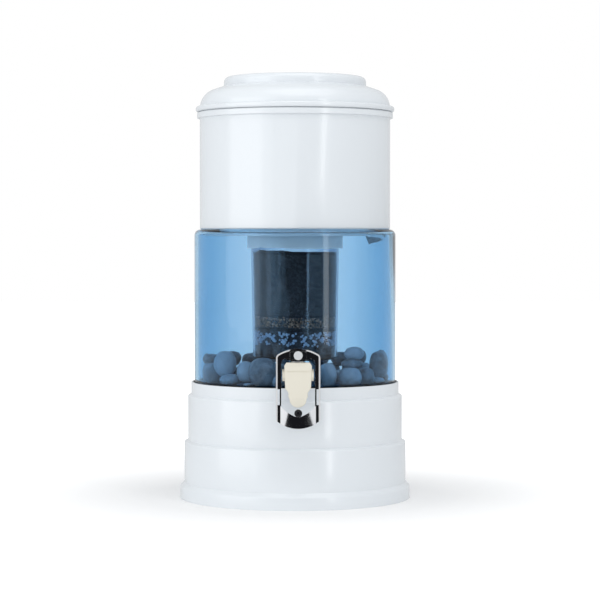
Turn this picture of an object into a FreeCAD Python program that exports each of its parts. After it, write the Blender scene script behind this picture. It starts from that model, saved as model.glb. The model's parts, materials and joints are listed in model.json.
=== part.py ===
import FreeCAD, Part
import Sketcher
import math
import os
from types import SimpleNamespace

# Gravity water filter: a white stand, a blue glass vessel with pebbles and a tap, a white upper
# tank with a ceramic pre-filter, a media cartridge that hangs under the tank, and a lid.
# Millimetres. +Z is up, the tap points to -Y, and the origin is the middle of the stand's foot.

Vector = FreeCAD.Vector
TURN = 360.0

# Driving sizes. "height" is measured from the ground, "thickness", "depth" and "length" are not.
SIZES = {
    # stand
    "foot_step": 4.5,
    "foot_top": 13.0,
    "skirt_step": 4.0,
    "skirt_top": 61.0,
    "waist_step": 3.5,
    "waist_top": 111.0,
    "rim_wall": 2.1,
    "rim_height": 7.6,
    "deck_top": 118.0,
    "deck_thickness": 3.0,
    "stand_wall": 3.0,
    "ledge_rounding": 1.6,
    "foot_rounding": 3.0,
    "rib_thickness": 2.4,
    "rib_depth": 5.0,
    "rib_hub_radius": 22.0,
    # vessel
    "vessel_radius": 109.0,
    "vessel_wall": 4.0,
    "vessel_floor": 5.0,
    "vessel_height": 170.9,
    "vessel_mouth_radius": 99.5,
    "vessel_shoulder": 6.5,
    "vessel_heel": 5.0,
    "vessel_cove": 4.0,
    "seat_thickness": 1.5,
    "seat_inner_radius": 84.0,
    "seat_lip": 1.0,
    "seat_play": 0.3,
    # upper tank
    "tank_radius": 103.0,
    "tank_wall": 3.0,
    "tank_floor": 3.0,
    "tank_height": 126.0,
    "tank_rim_radius": 105.9,
    "tank_rim_depth": 6.8,
    "tank_hem_rounding": 1.8,
    "spigot_depth": 7.0,
    "spigot_wall": 3.0,
    "spigot_play": 0.9,
    # lid
    "lid_flange_radius": 107.4,
    "lid_flange_thickness": 5.8,
    "lid_wall": 2.5,
    "lid_line": 0.8,
    "lid_seat_width": 2.6,
    "lid_skirt_depth": 8.0,
    "lid_skirt_play": 0.7,
    "dome_foot_radius": 102.8,
    "dome_break_radius": 89.1,
    "dome_break_height": 18.0,
    "dome_bend": 20.0,
    "disc_radius": 76.9,
    "disc_foot_height": 22.0,
    "disc_height": 32.0,
    "disc_rounding": 5.5,
    # ceramic pre-filter
    "stem_radius": 6.0,
    "stem_bore": 3.0,
    "stem_end_drop": 13.4,
    "stem_play": 0.2,
    "floor_hole_play": 0.4,
    "pan_radius": 46.0,
    "pan_thickness": 6.0,
    "ceramic_radius": 44.0,
    "ceramic_wall": 8.0,
    "ceramic_straight": 34.0,
    "ceramic_flat": 5.0,
    "ceramic_rise": 40.0,
    "gasket_radius": 20.0,
    "gasket_thickness": 2.0,
    "nut_flats": 24.0,
    "nut_thickness": 5.0,
    # cartridge
    "washer_radius": 11.0,
    "washer_thickness": 2.5,
    "cap_radius": 51.9,
    "cap_height": 15.6,
    "cap_wall": 2.2,
    "cap_top": 2.6,
    "cap_well_radius": 16.0,
    "cap_well_depth": 2.7,
    "cap_boss_wall": 3.0,
    "cap_boss_depth": 11.0,
    "cap_groove_height": 5.0,
    "cap_groove": 0.8,
    "cup_top_radius": 47.9,
    "cup_bottom_radius": 46.0,
    "cup_wall": 2.0,
    "cup_floor": 3.0,
    "cup_length": 120.0,
    "cup_heel": 4.0,
    "cup_collar_height": 12.6,
    "cup_collar_play": 0.3,
    "outlet_radius": 1.8,
    "outlet_circle": 26.0,
    "media_play": 0.3,
    "grit_depth": 8.0,
    "ball_bed_depth": 17.0,
    "mineral_depth": 12.3,
    "carbon_depth": 65.0,
    "pad_thickness": 3.0,
    "thin_pad_thickness": 1.4,
    # tap, measured forward from the vessel's outer wall or from the tap's own parts
    "tap_height": 141.0,
    "shank_radius": 8.0,
    "shank_bore": 3.2,
    "neck_radius": 4.9,
    "shank_play": 0.4,
    "shank_tail": 5.0,
    "tap_washer_radius": 13.5,
    "tap_washer_thickness": 3.0,
    "tap_flange_radius": 13.5,
    "tap_flange_thickness": 2.5,
    "tap_nut_flats": 26.0,
    "tap_nut_thickness": 7.0,
    "barrel_reach": 19.0,
    "barrel_radius": 10.5,
    "barrel_bore": 7.5,
    "barrel_top": 146.0,
    "barrel_cone_top": 120.5,
    "barrel_bottom": 114.5,
    "valve_seat": 121.5,
    "nozzle_radius": 4.5,
    "nozzle_bore": 3.0,
    "nozzle_end": 109.5,
    "bonnet_thickness": 2.5,
    "bonnet_plug": 4.0,
    "bonnet_play": 0.1,
    "plunger_radius": 2.0,
    "plunger_play": 0.15,
    "plunger_foot": 5.5,
    "plunger_foot_thickness": 1.5,
    "seal_radius": 6.6,
    "seal_thickness": 4.5,
    "head_radius": 4.5,
    "head_thickness": 2.2,
    "spring_radius": 4.6,
    "spring_wire": 0.8,
    "spring_turns": 5.0,
    # lever
    "pin_reach": 35.0,
    "pin_height": 141.4,
    "pin_radius": 1.5,
    "pin_play": 0.08,
    "lug_play": 0.4,
    "lug_radius": 3.3,
    "ear_radius": 6.1,
    "ear_thickness": 2.8,
    "lever_half_width": 16.0,
    "paddle_offset": 4.0,
    "paddle_thickness": 3.2,
    "paddle_rounding": 0.8,
    "paddle_top": 154.6,
    "paddle_top_half": 12.0,
    "paddle_shoulder": 151.4,
    "paddle_half": 14.0,
    "paddle_waist_top": 128.2,
    "paddle_waist_half": 13.1,
    "paddle_neck_top": 123.7,
    "paddle_neck_half": 9.8,
    "paddle_fold": 117.4,
    "tip_radius": 8.7,
    "seam_height": 145.4,
    "seam_width": 0.7,
    "seam_depth": 0.5,
    "fork_lift": 0.8,
    "fork_thickness": 2.0,
    "fork_half": 7.0,
    "fork_play": 0.6,
    "fork_overhang": 4.5,
    # front frame of the tap
    "frame_offset": 9.0,
    "frame_depth": 7.0,
    "frame_half": 22.5,
    "frame_bottom": 95.4,
    "frame_shoulder": 159.2,
    "frame_corner": 4.6,
    "frame_crown": 168.8,
    "window_half": 17.2,
    "window_top": 158.7,
    "window_lobe": 12.2,
    "window_dip": 155.9,
    "window_dip_half": 6.5,
    "window_corner": 5.0,
    "bead_width": 1.5,
    "channel_depth": 1.2,
    "slot_bottom": 111.5,
    "slot_top": 127.5,
    "boss_half": 8.3,
    "boss_proud": 0.6,
    "boss_bottom": 157.6,
    "boss_top": 165.6,
    "apron_radius": 36.0,
    "apron_bulge": 5.0,
    "apron_wall": 2.4,
    "apron_lap": 0.8,
    "apron_top": 110.8,
    "notch_bottom": 99.2,
    "notch_radius": 35.0,
    "apron_foot": 92.4,
    "apron_bend": 37.0,
    "rail_foot": 92.0,
    "bridge_half": 6.0,
    "bridge_bottom": 159.6,
    "bridge_top": 165.0,
    "bridge_post": 5.0,
    "badge_height": 161.8,
    "badge_radius": 4.5,
    "badge_thickness": 1.6,
    "badge_sunk": 0.8,
    "screw_radius": 1.5,
    "screw_play": 0.1,
    "screw_head_radius": 2.8,
    "screw_head": 2.2,
    "screw_length": 12.0,
    "ball_radius": 4.1,
    "ball_pin_radius": 0.9,
    "ball_pin_length": 6.0,
    # pebbles
    "pebble_scale": 1.0,
    "pebble_gap": 0.25,
}


class Size:
    """A length with both its value and the expression that gives it from the sheet."""

    def __init__(self, value, text):
        self.value = value
        self.text = text

    def __add__(self, other):
        other = size_of(other)
        return Size(self.value + other.value, f"({self.text} + {other.text})")

    def __sub__(self, other):
        other = size_of(other)
        return Size(self.value - other.value, f"({self.text} - {other.text})")

    def __mul__(self, other):
        if isinstance(other, Size):
            return Size(self.value * other.value, f"({self.text} * {other.text})")
        return Size(self.value * other, f"({self.text} * {other})")

    def __truediv__(self, other):
        if isinstance(other, Size):
            return Size(self.value / other.value, f"({self.text} / {other.text})")
        return Size(self.value / other, f"({self.text} / {other})")

    def __neg__(self):
        return Size(-self.value, f"(0 mm - {self.text})")


def size_of(value):
    return value if isinstance(value, Size) else Size(float(value), f"{value} mm")


doc = FreeCAD.newDocument("gravity_water_filter")
sheet = doc.addObject("Spreadsheet::Sheet", "Sizes")
for row, (alias, number) in enumerate(SIZES.items(), 1):
    sheet.set(f"A{row}", alias)
    sheet.set(f"B{row}", str(number))
    sheet.setAlias(f"B{row}", alias)
doc.recompute()
s = SimpleNamespace(**{alias: Size(number, f"Sizes.{alias} * 1 mm") for alias, number in SIZES.items()})
nodes = {}


# Helpers that draw sketches and bind them to the sheet

def bind(item, property_name, size):
    size = size_of(size)
    item.setExpression(property_name, size.text)


def new_body(name):
    body = doc.addObject("PartDesign::Body", name)
    body.Label = name
    nodes[name] = body
    return body


def origin_feature(body, role):
    return next(feature for feature in body.Origin.OriginFeatures if feature.Role == role)


def new_sketch(body, plane, offset=0):
    sketch = body.newObject("Sketcher::SketchObject", body.Name + "_sketch")
    sketch.AttachmentSupport = (origin_feature(body, plane), [""])
    sketch.MapMode = "FlatFace"
    if isinstance(offset, Size):
        sketch.AttachmentOffset = FreeCAD.Placement(Vector(0, 0, offset.value), FreeCAD.Rotation())
        bind(sketch, "AttachmentOffset.Base.z", offset)
    return sketch


def constrain(sketch, kind, *geometry, size):
    size = size_of(size)
    number = sketch.addConstraint(Sketcher.Constraint(kind, *geometry, size.value))
    if "Sizes." in size.text:
        bind(sketch, f"Constraints[{number}]", size)


def bent(start, end, radius, side):
    """The arc of that radius from start to end, bulging to the left or right of the way."""
    chord = end - start
    reach = math.sqrt(max(radius * radius - chord.Length ** 2 / 4, 0.0))
    across = Vector(-chord.y, chord.x, 0).normalize() * (reach if side == "right" else -reach)
    centre = start + chord / 2 + across
    first, last = (start, end) if side == "right" else (end, start)
    angles = [math.atan2(point.y - centre.y, point.x - centre.x) for point in (first, last)]
    return Part.ArcOfCircle(Part.Circle(centre, Vector(0, 0, 1), radius), *angles)


def draw(sketch, corners):
    """A closed outline. A corner is (across, up), or (across, up, radius, side) after an arc."""
    points = [Vector(size_of(c[0]).value, size_of(c[1]).value, 0) for c in corners]
    ends = []
    for index, corner in enumerate(corners):
        start, end = points[index - 1], points[index]
        if len(corner) == 2:
            edge = sketch.addGeometry(Part.LineSegment(start, end))
        else:
            edge = sketch.addGeometry(bent(start, end, size_of(corner[2]).value, corner[3]))
        clockwise = len(corner) == 4 and corner[3] == "left"
        ends.append((edge, 2, 1) if clockwise else (edge, 1, 2))
    for index, (edge, first, last) in enumerate(ends):
        before, _, joint = ends[index - 1]
        sketch.addConstraint(Sketcher.Constraint("Coincident", before, joint, edge, first))
        constrain(sketch, "DistanceX", edge, last, size=corners[index][0])
        constrain(sketch, "DistanceY", edge, last, size=corners[index][1])
        if len(corners[index]) == 4:
            constrain(sketch, "Radius", edge, size=corners[index][2])


def draw_circle(sketch, across, up, radius):
    across, up, radius = size_of(across), size_of(up), size_of(radius)
    centre = Vector(across.value, up.value, 0)
    edge = sketch.addGeometry(Part.Circle(centre, Vector(0, 0, 1), radius.value))
    constrain(sketch, "DistanceX", edge, 3, size=across)
    constrain(sketch, "DistanceY", edge, 3, size=up)
    constrain(sketch, "Radius", edge, size=radius)


def turned(name, corners):
    """A body turned about Z from an outline of (radius, height) corners."""
    body = new_body(name)
    sketch = new_sketch(body, "XZ_Plane")
    draw(sketch, corners)
    lathe = body.newObject("PartDesign::Revolution", name + "_lathe")
    lathe.Profile = sketch
    lathe.ReferenceAxis = (sketch, ["V_Axis"])
    lathe.Angle = TURN
    doc.recompute()
    return body


def extrude(body, sketch, length, kind="Pad", reverse=False, both=False):
    feature = body.newObject("PartDesign::" + kind, body.Name + "_" + kind.lower())
    feature.Profile = sketch
    feature.Reversed = reverse
    feature.Midplane = both
    bind(feature, "Length", length)
    doc.recompute()
    return feature


def around(body, feature, count):
    pattern = body.newObject("PartDesign::PolarPattern", body.Name + "_ring")
    pattern.Originals = [feature]
    pattern.Axis = (origin_feature(body, "Z_Axis"), [""])
    pattern.Angle = TURN
    pattern.Occurrences = count
    body.Tip = pattern
    doc.recompute()


def round_rings(body, radius, rings):
    """Rounds the circular edges about Z that lie at these (radius, height) places."""
    wanted = [(size_of(r).value, size_of(h).value) for r, h in rings]
    names = []
    for number, edge in enumerate(body.Shape.Edges, 1):
        if not isinstance(edge.Curve, Part.Circle):
            continue
        centre = edge.Curve.Center
        place = (edge.Curve.Radius, centre.z)
        on_axis = math.hypot(centre.x, centre.y) < 0.01
        if on_axis and any(math.dist(place, spot) < 0.01 for spot in wanted):
            names.append(f"Edge{number}")
    rounded = body.Tip
    fillet = body.newObject("PartDesign::Fillet", body.Name + "_fillet")
    fillet.Base = (rounded, names)
    bind(fillet, "Radius", radius)
    body.Tip = fillet
    doc.recompute()


# Helpers for solids and booleans of the Part workbench

UPRIGHT = FreeCAD.Rotation()
FORWARD = FreeCAD.Rotation(Vector(1, 0, 0), 90)
SIDEWAYS = FreeCAD.Rotation(Vector(0, 1, 0), 90)


def place(item, x=0, y=0, z=0, rotation=UPRIGHT):
    item.Placement = FreeCAD.Placement(Vector(*[size_of(v).value for v in (x, y, z)]), rotation)
    for axis, value in zip("xyz", (x, y, z)):
        if isinstance(value, Size):
            bind(item, f"Placement.Base.{axis}", value)
    return item


def cylinder(name, radius, height, **where):
    item = doc.addObject("Part::Cylinder", name)
    bind(item, "Radius", radius)
    bind(item, "Height", height)
    return place(item, **where)


def cone(name, bottom, top, height, **where):
    item = doc.addObject("Part::Cone", name)
    bind(item, "Radius1", bottom)
    bind(item, "Radius2", top)
    bind(item, "Height", height)
    return place(item, **where)


def box(name, length, width, height, **where):
    item = doc.addObject("Part::Box", name)
    bind(item, "Length", length)
    bind(item, "Width", width)
    bind(item, "Height", height)
    return place(item, **where)


def hexagon(name, flats, height, **where):
    item = doc.addObject("Part::Prism", name)
    item.Polygon = 6
    bind(item, "Circumradius", flats / (2 * math.cos(math.pi / 6)))
    bind(item, "Height", height)
    return place(item, **where)


def fused(name, *items):
    item = doc.addObject("Part::MultiFuse", name)
    item.Shapes = list(items)
    return item


def cut(name, base, tool):
    item = doc.addObject("Part::Cut", name)
    item.Base = base
    item.Tool = tool
    return item


def common(name, first, second):
    item = doc.addObject("Part::MultiCommon", name)
    item.Shapes = [first, second]
    return item


def keep(name, item):
    item.Label = name
    nodes[name] = item
    return item


# Heights and reaches that several parts share

seat_top = s.deck_top + s.seat_thickness
vessel_inner = s.vessel_radius - s.vessel_wall
vessel_floor_top = seat_top + s.vessel_floor
vessel_top = seat_top + s.vessel_height
tank_floor_top = vessel_top + s.tank_floor
tank_top = vessel_top + s.tank_height
tank_inner = s.tank_radius - s.tank_wall
rim_inner = s.vessel_radius + s.seat_lip + s.seat_play * 2
rim_radius = rim_inner + s.rim_wall
waist_radius = rim_radius + s.waist_step
skirt_radius = waist_radius + s.skirt_step
foot_radius = skirt_radius + s.foot_step
rim_top = s.deck_top + s.rim_height
pan_bottom = tank_floor_top + s.gasket_thickness
nut_bottom = vessel_top - s.nut_thickness
washer_bottom = nut_bottom - s.washer_thickness
cap_top_height = washer_bottom + s.cap_well_depth
cap_bottom = cap_top_height - s.cap_height
cup_bottom = cap_bottom - s.cup_length
barrel_y = s.vessel_radius + s.barrel_reach
pin_y = s.vessel_radius + s.pin_reach
frame_front = pin_y + s.frame_offset
frame_back = frame_front - s.frame_depth


# Stand

def make_stand():
    wall = s.stand_wall
    under_deck = s.deck_top - s.deck_thickness
    stand = turned("base_stand", [
        (foot_radius, 0),
        (foot_radius, s.foot_top),
        (skirt_radius, s.foot_top + s.foot_step),
        (skirt_radius, s.skirt_top),
        (waist_radius, s.skirt_top + s.skirt_step / 2),
        (waist_radius, s.waist_top),
        (rim_radius, s.waist_top + s.waist_step / 2),
        (rim_radius, rim_top),
        (rim_inner, rim_top),
        (rim_inner, s.deck_top),
        (0, s.deck_top),
        (0, under_deck),
        (rim_radius - wall, under_deck),
        (rim_radius - wall, s.waist_top),
        (waist_radius - wall, s.waist_top - wall),
        (waist_radius - wall, s.skirt_top),
        (skirt_radius - wall, s.skirt_top - wall),
        (skirt_radius - wall, s.foot_top),
        (foot_radius - wall, s.foot_top - wall),
        (foot_radius - wall, 0),
    ])
    round_rings(stand, s.ledge_rounding, [
        (skirt_radius, s.skirt_top),
        (waist_radius, s.waist_top),
    ])
    round_rings(stand, s.foot_rounding, [(foot_radius, s.foot_top)])
    rib = new_sketch(stand, "XY_Plane", under_deck - s.rib_depth)
    outer = rim_radius - wall + 0.5
    draw(rib, [
        (s.rib_hub_radius, -s.rib_thickness / 2),
        (outer, -s.rib_thickness / 2),
        (outer, s.rib_thickness / 2),
        (s.rib_hub_radius, s.rib_thickness / 2),
    ])
    ribs = extrude(stand, rib, s.rib_depth + 0.5)
    around(stand, ribs, 8)
    hub = new_sketch(stand, "XY_Plane", under_deck - s.rib_depth)
    draw_circle(hub, 0, 0, s.rib_hub_radius + s.rib_thickness / 2)
    draw_circle(hub, 0, 0, s.rib_hub_radius - s.rib_thickness / 2)
    extrude(stand, hub, s.rib_depth + 0.5)


def make_seat_ring():
    outer = s.vessel_radius + s.seat_play + s.seat_lip
    turned("vessel_seat_ring", [
        (s.seat_inner_radius, s.deck_top),
        (outer, s.deck_top),
        (outer, rim_top + s.seat_play),
        (outer - s.seat_lip, rim_top + s.seat_play),
        (outer - s.seat_lip, seat_top),
        (s.seat_inner_radius, seat_top),
    ])


# Vessel: the side wall turns in to a flat lip round the mouth

def make_vessel():
    shoulder_foot = vessel_top - s.vessel_shoulder
    lip_radius = s.vessel_radius - s.vessel_shoulder
    vessel = turned("glass_vessel", [
        (0, seat_top),
        (s.vessel_radius, seat_top),
        (s.vessel_radius, shoulder_foot),
        (lip_radius, vessel_top, s.vessel_shoulder, "right"),
        (s.vessel_mouth_radius, vessel_top),
        (s.vessel_mouth_radius, vessel_top - s.vessel_wall),
        (lip_radius, vessel_top - s.vessel_wall),
        (vessel_inner, shoulder_foot, s.vessel_shoulder - s.vessel_wall, "left"),
        (vessel_inner, vessel_floor_top),
        (0, vessel_floor_top),
    ])
    round_rings(vessel, s.vessel_heel, [(s.vessel_radius, seat_top)])
    round_rings(vessel, s.vessel_cove, [(vessel_inner, vessel_floor_top)])
    hole = new_sketch(vessel, "XZ_Plane")
    draw_circle(hole, 0, s.tap_height, s.shank_radius + s.shank_play)
    extrude(vessel, hole, s.vessel_radius + 1, kind="Pocket", reverse=True)


# Upper tank, its ceramic pre-filter and the nut that holds it

def make_tank():
    spigot_outer = s.vessel_mouth_radius - s.spigot_play
    spigot_end = vessel_top - s.spigot_depth
    hole = s.stem_radius + s.floor_hole_play
    rim_foot = tank_top - s.tank_rim_depth
    tank = turned("upper_tank", [
        (hole, vessel_top),
        (spigot_outer - s.spigot_wall, vessel_top),
        (spigot_outer - s.spigot_wall, spigot_end),
        (spigot_outer, spigot_end),
        (spigot_outer, vessel_top),
        (s.tank_radius, vessel_top),
        (s.tank_radius, rim_foot),
        (s.tank_rim_radius, rim_foot + (s.tank_rim_radius - s.tank_radius) / 3),
        (s.tank_rim_radius, tank_top),
        (tank_inner, tank_top),
        (tank_inner, tank_floor_top),
        (hole, tank_floor_top),
    ])
    round_rings(tank, s.tank_hem_rounding, [(s.tank_radius, vessel_top)])
    round_rings(tank, s.tank_hem_rounding / 2, [(s.tank_rim_radius, tank_top)])


def make_ceramic_filter():
    bore = s.stem_bore
    turned("ceramic_gasket", [
        (s.stem_radius + s.stem_play, tank_floor_top),
        (s.gasket_radius, tank_floor_top),
        (s.gasket_radius, pan_bottom),
        (s.stem_radius + s.stem_play, pan_bottom),
    ])
    pan_top = pan_bottom + s.pan_thickness
    turned("ceramic_pan", [
        (bore, vessel_top - s.stem_end_drop),
        (s.stem_radius, vessel_top - s.stem_end_drop),
        (s.stem_radius, pan_bottom),
        (s.pan_radius, pan_bottom),
        (s.pan_radius, pan_top),
        (bore, pan_top),
    ])
    spring_line = pan_top + s.ceramic_straight
    inner = s.ceramic_radius - s.ceramic_wall
    turned("ceramic_dome", [
        (inner, pan_top),
        (s.ceramic_radius, pan_top),
        (s.ceramic_radius, spring_line),
        (s.ceramic_flat, spring_line + s.ceramic_rise, s.ceramic_radius, "right"),
        (0, spring_line + s.ceramic_rise),
        (0, spring_line + s.ceramic_rise - s.ceramic_wall),
        (s.ceramic_flat, spring_line + s.ceramic_rise - s.ceramic_wall),
        (inner, spring_line, inner, "left"),
    ])
    blank = hexagon("filter_nut_blank", s.nut_flats, s.nut_thickness, z=nut_bottom)
    bore_tool = cylinder("filter_nut_bore", s.stem_radius + s.stem_play, s.nut_thickness, z=nut_bottom)
    keep("filter_nut", cut("filter_nut_cut", blank, bore_tool))


# Lid: a domed cover with a raised disc to hold it by

def make_lid():
    wall = s.lid_wall
    flange_bottom = tank_top + s.lid_line
    flange_top = flange_bottom + s.lid_flange_thickness
    skirt_outer = tank_inner - s.lid_skirt_play
    skirt_inner = skirt_outer - wall
    break_height = flange_top + s.dome_break_height
    disc_foot = flange_top + s.disc_foot_height
    top = flange_top + s.disc_height
    seat_edge = tank_inner + s.lid_seat_width
    lid = turned("lid", [
        (seat_edge, flange_bottom),
        (s.lid_flange_radius, flange_bottom),
        (s.lid_flange_radius, flange_top),
        (s.dome_foot_radius, flange_top),
        (s.dome_break_radius, break_height, s.dome_bend, "right"),
        (s.disc_radius, disc_foot),
        (s.disc_radius, top - s.disc_rounding),
        (s.disc_radius - s.disc_rounding, top, s.disc_rounding, "right"),
        (0, top),
        (0, top - wall),
        (s.disc_radius - s.disc_rounding, top - wall),
        (s.disc_radius - wall, top - s.disc_rounding, s.disc_rounding - wall, "left"),
        (s.disc_radius - wall, disc_foot - wall),
        (s.dome_break_radius - wall / 2, break_height - wall),
        (skirt_inner, flange_top, s.dome_bend - wall, "left"),
        (skirt_inner, tank_top - s.lid_skirt_depth),
        (skirt_outer, tank_top - s.lid_skirt_depth),
        (skirt_outer, tank_top),
        (seat_edge, tank_top),
    ])
    rounding = s.lid_flange_thickness / 2.6
    round_rings(lid, rounding, [
        (s.lid_flange_radius, flange_bottom),
        (s.lid_flange_radius, flange_top),
    ])


# Cartridge: a screw cap with a threaded boss, a clear cup and the beds of media in it

def cup_radius(height, inset):
    """The cup's outer radius at a height, less the inset."""
    share = (height.value - cup_bottom.value) / s.cup_length.value
    lean = (s.cup_top_radius - s.cup_bottom_radius) * round(share, 6)
    return s.cup_bottom_radius + lean - inset


def make_cartridge():
    bore = s.stem_radius + s.stem_play
    turned("cartridge_washer", [
        (bore, washer_bottom),
        (s.washer_radius, washer_bottom),
        (s.washer_radius, nut_bottom),
        (bore, nut_bottom),
    ])
    top_under = cap_top_height - s.cap_top
    well_outer = s.cap_well_radius
    boss_outer = bore + s.cap_boss_wall
    boss_end = washer_bottom - s.cap_boss_depth
    well_under = washer_bottom - s.cap_top
    groove_low = cap_bottom + s.cap_groove_height - s.cap_groove / 2
    groove_high = cap_bottom + s.cap_groove_height + s.cap_groove / 2
    skirt_inner = s.cap_radius - s.cap_wall
    cap = turned("cartridge_cap", [
        (bore, washer_bottom),
        (well_outer, washer_bottom),
        (well_outer, cap_top_height),
        (s.cap_radius, cap_top_height),
        (s.cap_radius, groove_high),
        (s.cap_radius - s.cap_groove, groove_high),
        (s.cap_radius - s.cap_groove, groove_low),
        (s.cap_radius, groove_low),
        (s.cap_radius, cap_bottom),
        (skirt_inner, cap_bottom),
        (skirt_inner, top_under),
        (well_outer + s.cap_top, top_under),
        (well_outer + s.cap_top, well_under),
        (boss_outer, well_under),
        (boss_outer, boss_end),
        (bore, boss_end),
    ])
    round_rings(cap, s.cap_groove, [(s.cap_radius, cap_top_height)])
    collar_top = cap_bottom + s.cup_collar_height
    collar = s.cap_radius - s.cap_wall - s.cup_collar_play
    collar_foot = collar_top - s.pad_thickness
    cup = turned("cartridge_cup", [
        (0, cup_bottom),
        (s.cup_bottom_radius, cup_bottom),
        (s.cup_top_radius, cap_bottom),
        (s.cup_top_radius, collar_foot),
        (collar, collar_foot),
        (collar, collar_top),
        (s.cup_top_radius - s.cup_wall, collar_top),
        (s.cup_top_radius - s.cup_wall, cap_bottom),
        (s.cup_bottom_radius - s.cup_wall, cup_bottom + s.cup_floor),
        (0, cup_bottom + s.cup_floor),
    ])
    round_rings(cup, s.cup_heel, [(s.cup_bottom_radius, cup_bottom)])
    outlet = new_sketch(cup, "XY_Plane", cup_bottom - 1)
    draw_circle(outlet, s.outlet_circle, 0, s.outlet_radius)
    hole = extrude(cup, outlet, s.cup_floor + 2, kind="Pocket", reverse=True)
    around(cup, hole, 12)


def make_media():
    """Fills the cup from its floor with pads and beds that follow its taper."""
    inset = s.cup_wall + s.media_play
    layers = [
        ("outlet_pad", s.pad_thickness),
        ("grit_bed", s.grit_depth),
        ("ball_bed", s.ball_bed_depth),
        ("lower_pad", s.pad_thickness),
        ("mineral_bed", s.mineral_depth),
        ("upper_pad", s.thin_pad_thickness),
        ("carbon_bed", s.carbon_depth),
        ("inlet_pad", s.pad_thickness),
    ]
    height = cup_bottom + s.cup_floor
    for name, depth in layers:
        top = height + depth
        bed = cone(name, cup_radius(height, inset), cup_radius(top, inset), depth, z=height)
        keep(name, bed)
        height = top


# Tap. The shank is drawn along Z in each tool and turned to point forward.

def along_shank(name, radius, back, length):
    """A cylinder on the shank's axis, from this far in front of the vessel's axis."""
    return cylinder(name, radius, length, y=-back, z=s.tap_height, rotation=FORWARD)


def make_tap_body():
    washer_front = s.vessel_radius + s.tap_washer_thickness
    flange_front = washer_front + s.tap_flange_thickness
    tail = vessel_inner - s.tap_washer_thickness - s.tap_nut_thickness - s.shank_tail
    barrel_length = s.barrel_top - s.barrel_cone_top
    cone_length = s.barrel_cone_top - s.barrel_bottom
    nozzle_length = s.barrel_bottom - s.nozzle_end
    post_back = flange_front - s.tap_flange_thickness
    bridge_height = s.bridge_top - s.bridge_bottom
    post_foot = s.tap_height + s.neck_radius / 2
    lug_half = s.lever_half_width - s.ear_thickness - s.lug_play
    solid = fused(
        "tap_body_solid",
        along_shank("tap_shank", s.shank_radius, tail, washer_front - tail),
        along_shank("tap_flange", s.tap_flange_radius, washer_front, s.tap_flange_thickness),
        along_shank("tap_neck", s.neck_radius, washer_front, barrel_y - washer_front),
        cylinder("tap_barrel", s.barrel_radius, barrel_length, y=-barrel_y, z=s.barrel_cone_top),
        cone("tap_cone", s.nozzle_radius, s.barrel_radius, cone_length, y=-barrel_y, z=s.barrel_bottom),
        cylinder("tap_nozzle", s.nozzle_radius, nozzle_length, y=-barrel_y, z=s.nozzle_end),
        box("tap_lug_block", lug_half * 2, pin_y - barrel_y, s.lug_radius * 2,
            x=-lug_half, y=-pin_y, z=s.pin_height - s.lug_radius),
        cylinder("tap_lug_nose", s.lug_radius, lug_half * 2,
                 x=-lug_half, y=-pin_y, z=s.pin_height, rotation=SIDEWAYS),
        box("tap_post", s.bridge_half * 2, s.bridge_post, s.bridge_top - post_foot,
            x=-s.bridge_half, y=-(post_back + s.bridge_post), z=post_foot),
        box("tap_bridge", s.bridge_half * 2, frame_back - post_back, bridge_height,
            x=-s.bridge_half, y=-frame_back, z=s.bridge_bottom),
    )
    chamber_height = s.barrel_top - s.valve_seat
    hollow = fused(
        "tap_body_hollow",
        along_shank("tap_shank_bore", s.shank_bore, tail, barrel_y - tail),
        cylinder("tap_chamber", s.barrel_bore, chamber_height, y=-barrel_y, z=s.valve_seat),
        cylinder("tap_nozzle_bore", s.nozzle_bore, s.valve_seat - s.nozzle_end,
                 y=-barrel_y, z=s.nozzle_end),
        cylinder("tap_pin_hole", s.pin_radius + s.pin_play, lug_half * 2,
                 x=-lug_half, y=-pin_y, z=s.pin_height, rotation=SIDEWAYS),
        cylinder("tap_screw_hole", s.screw_radius + s.screw_play, s.screw_length,
                 y=-(frame_back - s.screw_length / 2 - s.screw_radius), z=s.badge_height, rotation=FORWARD),
    )
    keep("tap_body", cut("tap_body_cut", solid, hollow))


def make_tap_seals():
    """Two washers with one face hollowed or crowned to lie on the vessel's round wall, and a nut."""
    wall = cylinder("vessel_wall_outside", s.vessel_radius, s.vessel_height, z=seat_top)
    bore = s.shank_radius + s.shank_play / 2
    thickness = s.tap_washer_thickness
    outer_length = thickness * 2
    outer_disc = along_shank("outer_washer_disc", s.tap_washer_radius, s.vessel_radius - thickness, outer_length)
    outer_bore = along_shank("outer_washer_bore", bore, s.vessel_radius - thickness, outer_length)
    outer_ring = cut("outer_washer_ring", outer_disc, outer_bore)
    keep("tap_outer_washer", cut("tap_outer_washer_saddle", outer_ring, wall))
    inside = cylinder("vessel_wall_inside", vessel_inner, s.vessel_height, z=seat_top)
    inner_back = vessel_inner - thickness
    inner_disc = along_shank("inner_washer_disc", s.tap_washer_radius, inner_back, thickness)
    inner_bore = along_shank("inner_washer_bore", bore, inner_back, thickness)
    inner_ring = cut("inner_washer_ring", inner_disc, inner_bore)
    keep("tap_inner_washer", common("tap_inner_washer_crown", inner_ring, inside))
    nut_back = inner_back - s.tap_nut_thickness
    blank = hexagon("tap_nut_blank", s.tap_nut_flats, s.tap_nut_thickness,
                    y=-nut_back, z=s.tap_height, rotation=FORWARD)
    nut_bore = along_shank("tap_nut_bore", bore, nut_back, s.tap_nut_thickness)
    keep("tap_nut", cut("tap_nut_cut", blank, nut_bore))


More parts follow.
